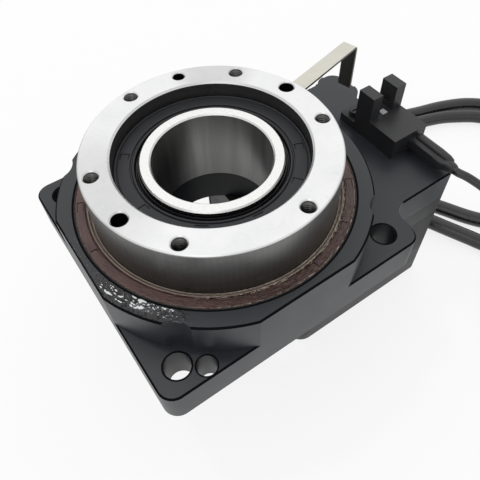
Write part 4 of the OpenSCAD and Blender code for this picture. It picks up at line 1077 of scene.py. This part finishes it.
# Dark and bright tone, roughness, swing of the lines and their width in millimetres
TURNED = {
    "bearing_steel": ((0.5, 0.51, 0.52), (0.72, 0.73, 0.74), 0.16, 0.6, 0.06),
    "cage_brass": ((0.5, 0.36, 0.14), (0.76, 0.6, 0.3), 0.3, 0.7, 0.1),
    "clamp_steel": ((0.2, 0.205, 0.215), (0.42, 0.43, 0.45), 0.34, 0.8, 0.14),
    "gear_steel": ((0.36, 0.37, 0.38), (0.58, 0.59, 0.6), 0.3, 0.7, 0.12),
}
# Dark and bright tone, roughness, size and depth of the grain, and metallic
GRAINED = {
    "screw_steel": ((0.5, 0.5, 0.5), (0.7, 0.7, 0.7), 0.28, 0.15, 0.01, 1.0),
    "screw_black": ((0.015, 0.015, 0.017), (0.045, 0.045, 0.05), 0.42, 0.2, 0.012, 0.4),
}
MATERIALS = {painter.__name__: painter() for painter in PAINTERS}
MATERIALS |= {name: turned(name, *values) for name, values in TURNED.items()}
MATERIALS |= {name: grained(name, *values) for name, values in GRAINED.items()}
MATERIALS["ground_steel"] = turned(
    "ground_steel", (0.63, 0.635, 0.64), (0.76, 0.76, 0.755), 0.3, 0.5, shade=table_shade,
)
print(len(MATERIALS), "finishes")

# %% Give every piece and every CAD solid its finish
CORE_COLOURS = {
    "core_brown": ((0.1, 0.045, 0.02), (0.14, 0.065, 0.03)),
    "core_black": ((0.012, 0.012, 0.012), (0.02, 0.02, 0.02)),
    "core_white": ((0.6, 0.6, 0.58), (0.7, 0.7, 0.68)),
    "core_blue": ((0.02, 0.06, 0.25), (0.03, 0.09, 0.33)),
}
for core, tones in CORE_COLOURS.items():
    bpy.data.objects[core].data.materials.append(grained(core, *tones, 0.35, 0.3, 0.01))
film.data.materials.append(oil())
for node, slot in SLOT_OF.items():
    for place in NODES[node].material_slots:
        place.material = MATERIALS["screw_black" if node == "sensor_screws" else slot]
for piece in bpy.data.objects:
    if piece.get("slot"):
        piece.data.materials.clear()
        piece.data.materials.append(MATERIALS[piece["slot"]])
print("finishes given to", len(SLOT_OF), "solids and the new pieces")

# %% [markdown]
# ## Bench and light
# The part stands on a pale bench in a white room. The bench and the room show as plain white
# to the camera and in the metal, but the soft shade under the part stays, because the bench
# is partly a lit surface and partly a plain white one. The white room already lights the
# metal, so the lamps stay weak. A wide softbox behind and to the right adds a broad gleam to
# level faces, a smaller one fills in from the left, and a small lamp makes the sparks on oil
# and edges.


# %% Bench
PLAIN_SHARE = 0.8


def seen(graph):
    """1 for rays from the camera, off glossy surfaces or through glass."""
    kinds = ("Camera", "Glossy", "Transmission")
    return graph.most(*(graph.node("LightPath", output=f"Is {kind} Ray") for kind in kinds))


def bench_white():
    """Lit plaster mixed with plain white of strength 1 where it is seen."""
    f = Finish("bench_white", IOR=1.45)
    colour = f.mix(f.noise(60, 3), (0.93, 0.93, 0.925), (0.95, 0.95, 0.95))
    f.cover(seen(f) * PLAIN_SHARE, f.node("Emission", None, {"Color": (1, 1, 1), "Strength": 1.0}))
    return f.paint(Base_Color=colour, Roughness=0.7 + f.noise(8) * 0.1)


# %% Mesh of the bench: a round plate, in metres
BENCH_R, BENCH_X, BENCH_THICK, CLEARANCE = 3.0, 0.05, 0.02, 0.00002
low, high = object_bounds()
rings = BENCH_R * np.linspace(0, 1, 12)[1:, None] ** 2
spin = circle(64)
level = np.full((len(rings), len(spin)), low[2] - CLEARANCE)
top = np.stack([BENCH_X + rings * np.cos(spin), rings * np.sin(spin), level], -1)
under = top[-1:] - [0, 0, BENCH_THICK]
centre = under * [0.0, 0.0, 1.0] + [BENCH_X, 0, 0]
bench_points, bench_faces = sheet(np.concatenate([centre, under, top[::-1]]))
mesh = bpy.data.meshes.new("bench")
mesh.from_pydata(bench_points.tolist(), [], bench_faces)
mesh.materials.append(bench_white())
bench = bpy.data.objects.new("bench", mesh)
bpy.context.scene.collection.objects.link(bench)
bench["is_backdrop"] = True
print("bench at", round(low[2], 5))

# %% Room
world = bpy.data.worlds.new("room")
world.use_nodes = True
bpy.context.scene.world = world
room = Graph(world.node_tree)
for spare in list(room.tree.nodes):
    room.tree.nodes.remove(spare)
dim = room.node("Background", None, {"Color": (1, 1, 1), "Strength": 0.8})
plain = room.node("Background", None, {"Color": (1, 1, 1), "Strength": 1.0})
sky = room.node("MixShader", None, {0: seen(room), 1: dim, 2: plain})
output = room.tree.nodes.new("ShaderNodeOutputWorld")
room.feed(output.inputs["Surface"], sky)


# %% Lamps
LIT_POINT = Vector((0, 0, 0.03))


def softbox(name, place, size, power):
    """Square lamp that faces the lit point. It lights a level face there by about
    power / (pi^2 distance^2) times the cosine of the slant."""
    light = bpy.data.lights.new(name, "AREA")
    light.shape, light.size, light.energy = "SQUARE", size, power
    lamp = bpy.data.objects.new(name, light)
    aim = LIT_POINT - Vector(place)
    lamp.matrix_world = Matrix.Translation(place) @ aim.to_track_quat("-Z", "Y").to_matrix().to_4x4()
    bpy.context.scene.collection.objects.link(lamp)


softbox("wide_softbox", (0.42, 0.42, 0.72), 1.4, 1.6)
softbox("left_softbox", (-0.5, -0.45, 0.6), 0.5, 0.5)
softbox("spark_lamp", (-0.135, 0.205, 0.622), 0.06, 0.42)
bpy.context.scene.view_settings.view_transform = "Standard"
print("room and three lamps ready")

# %% Bounds of the part
low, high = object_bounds()
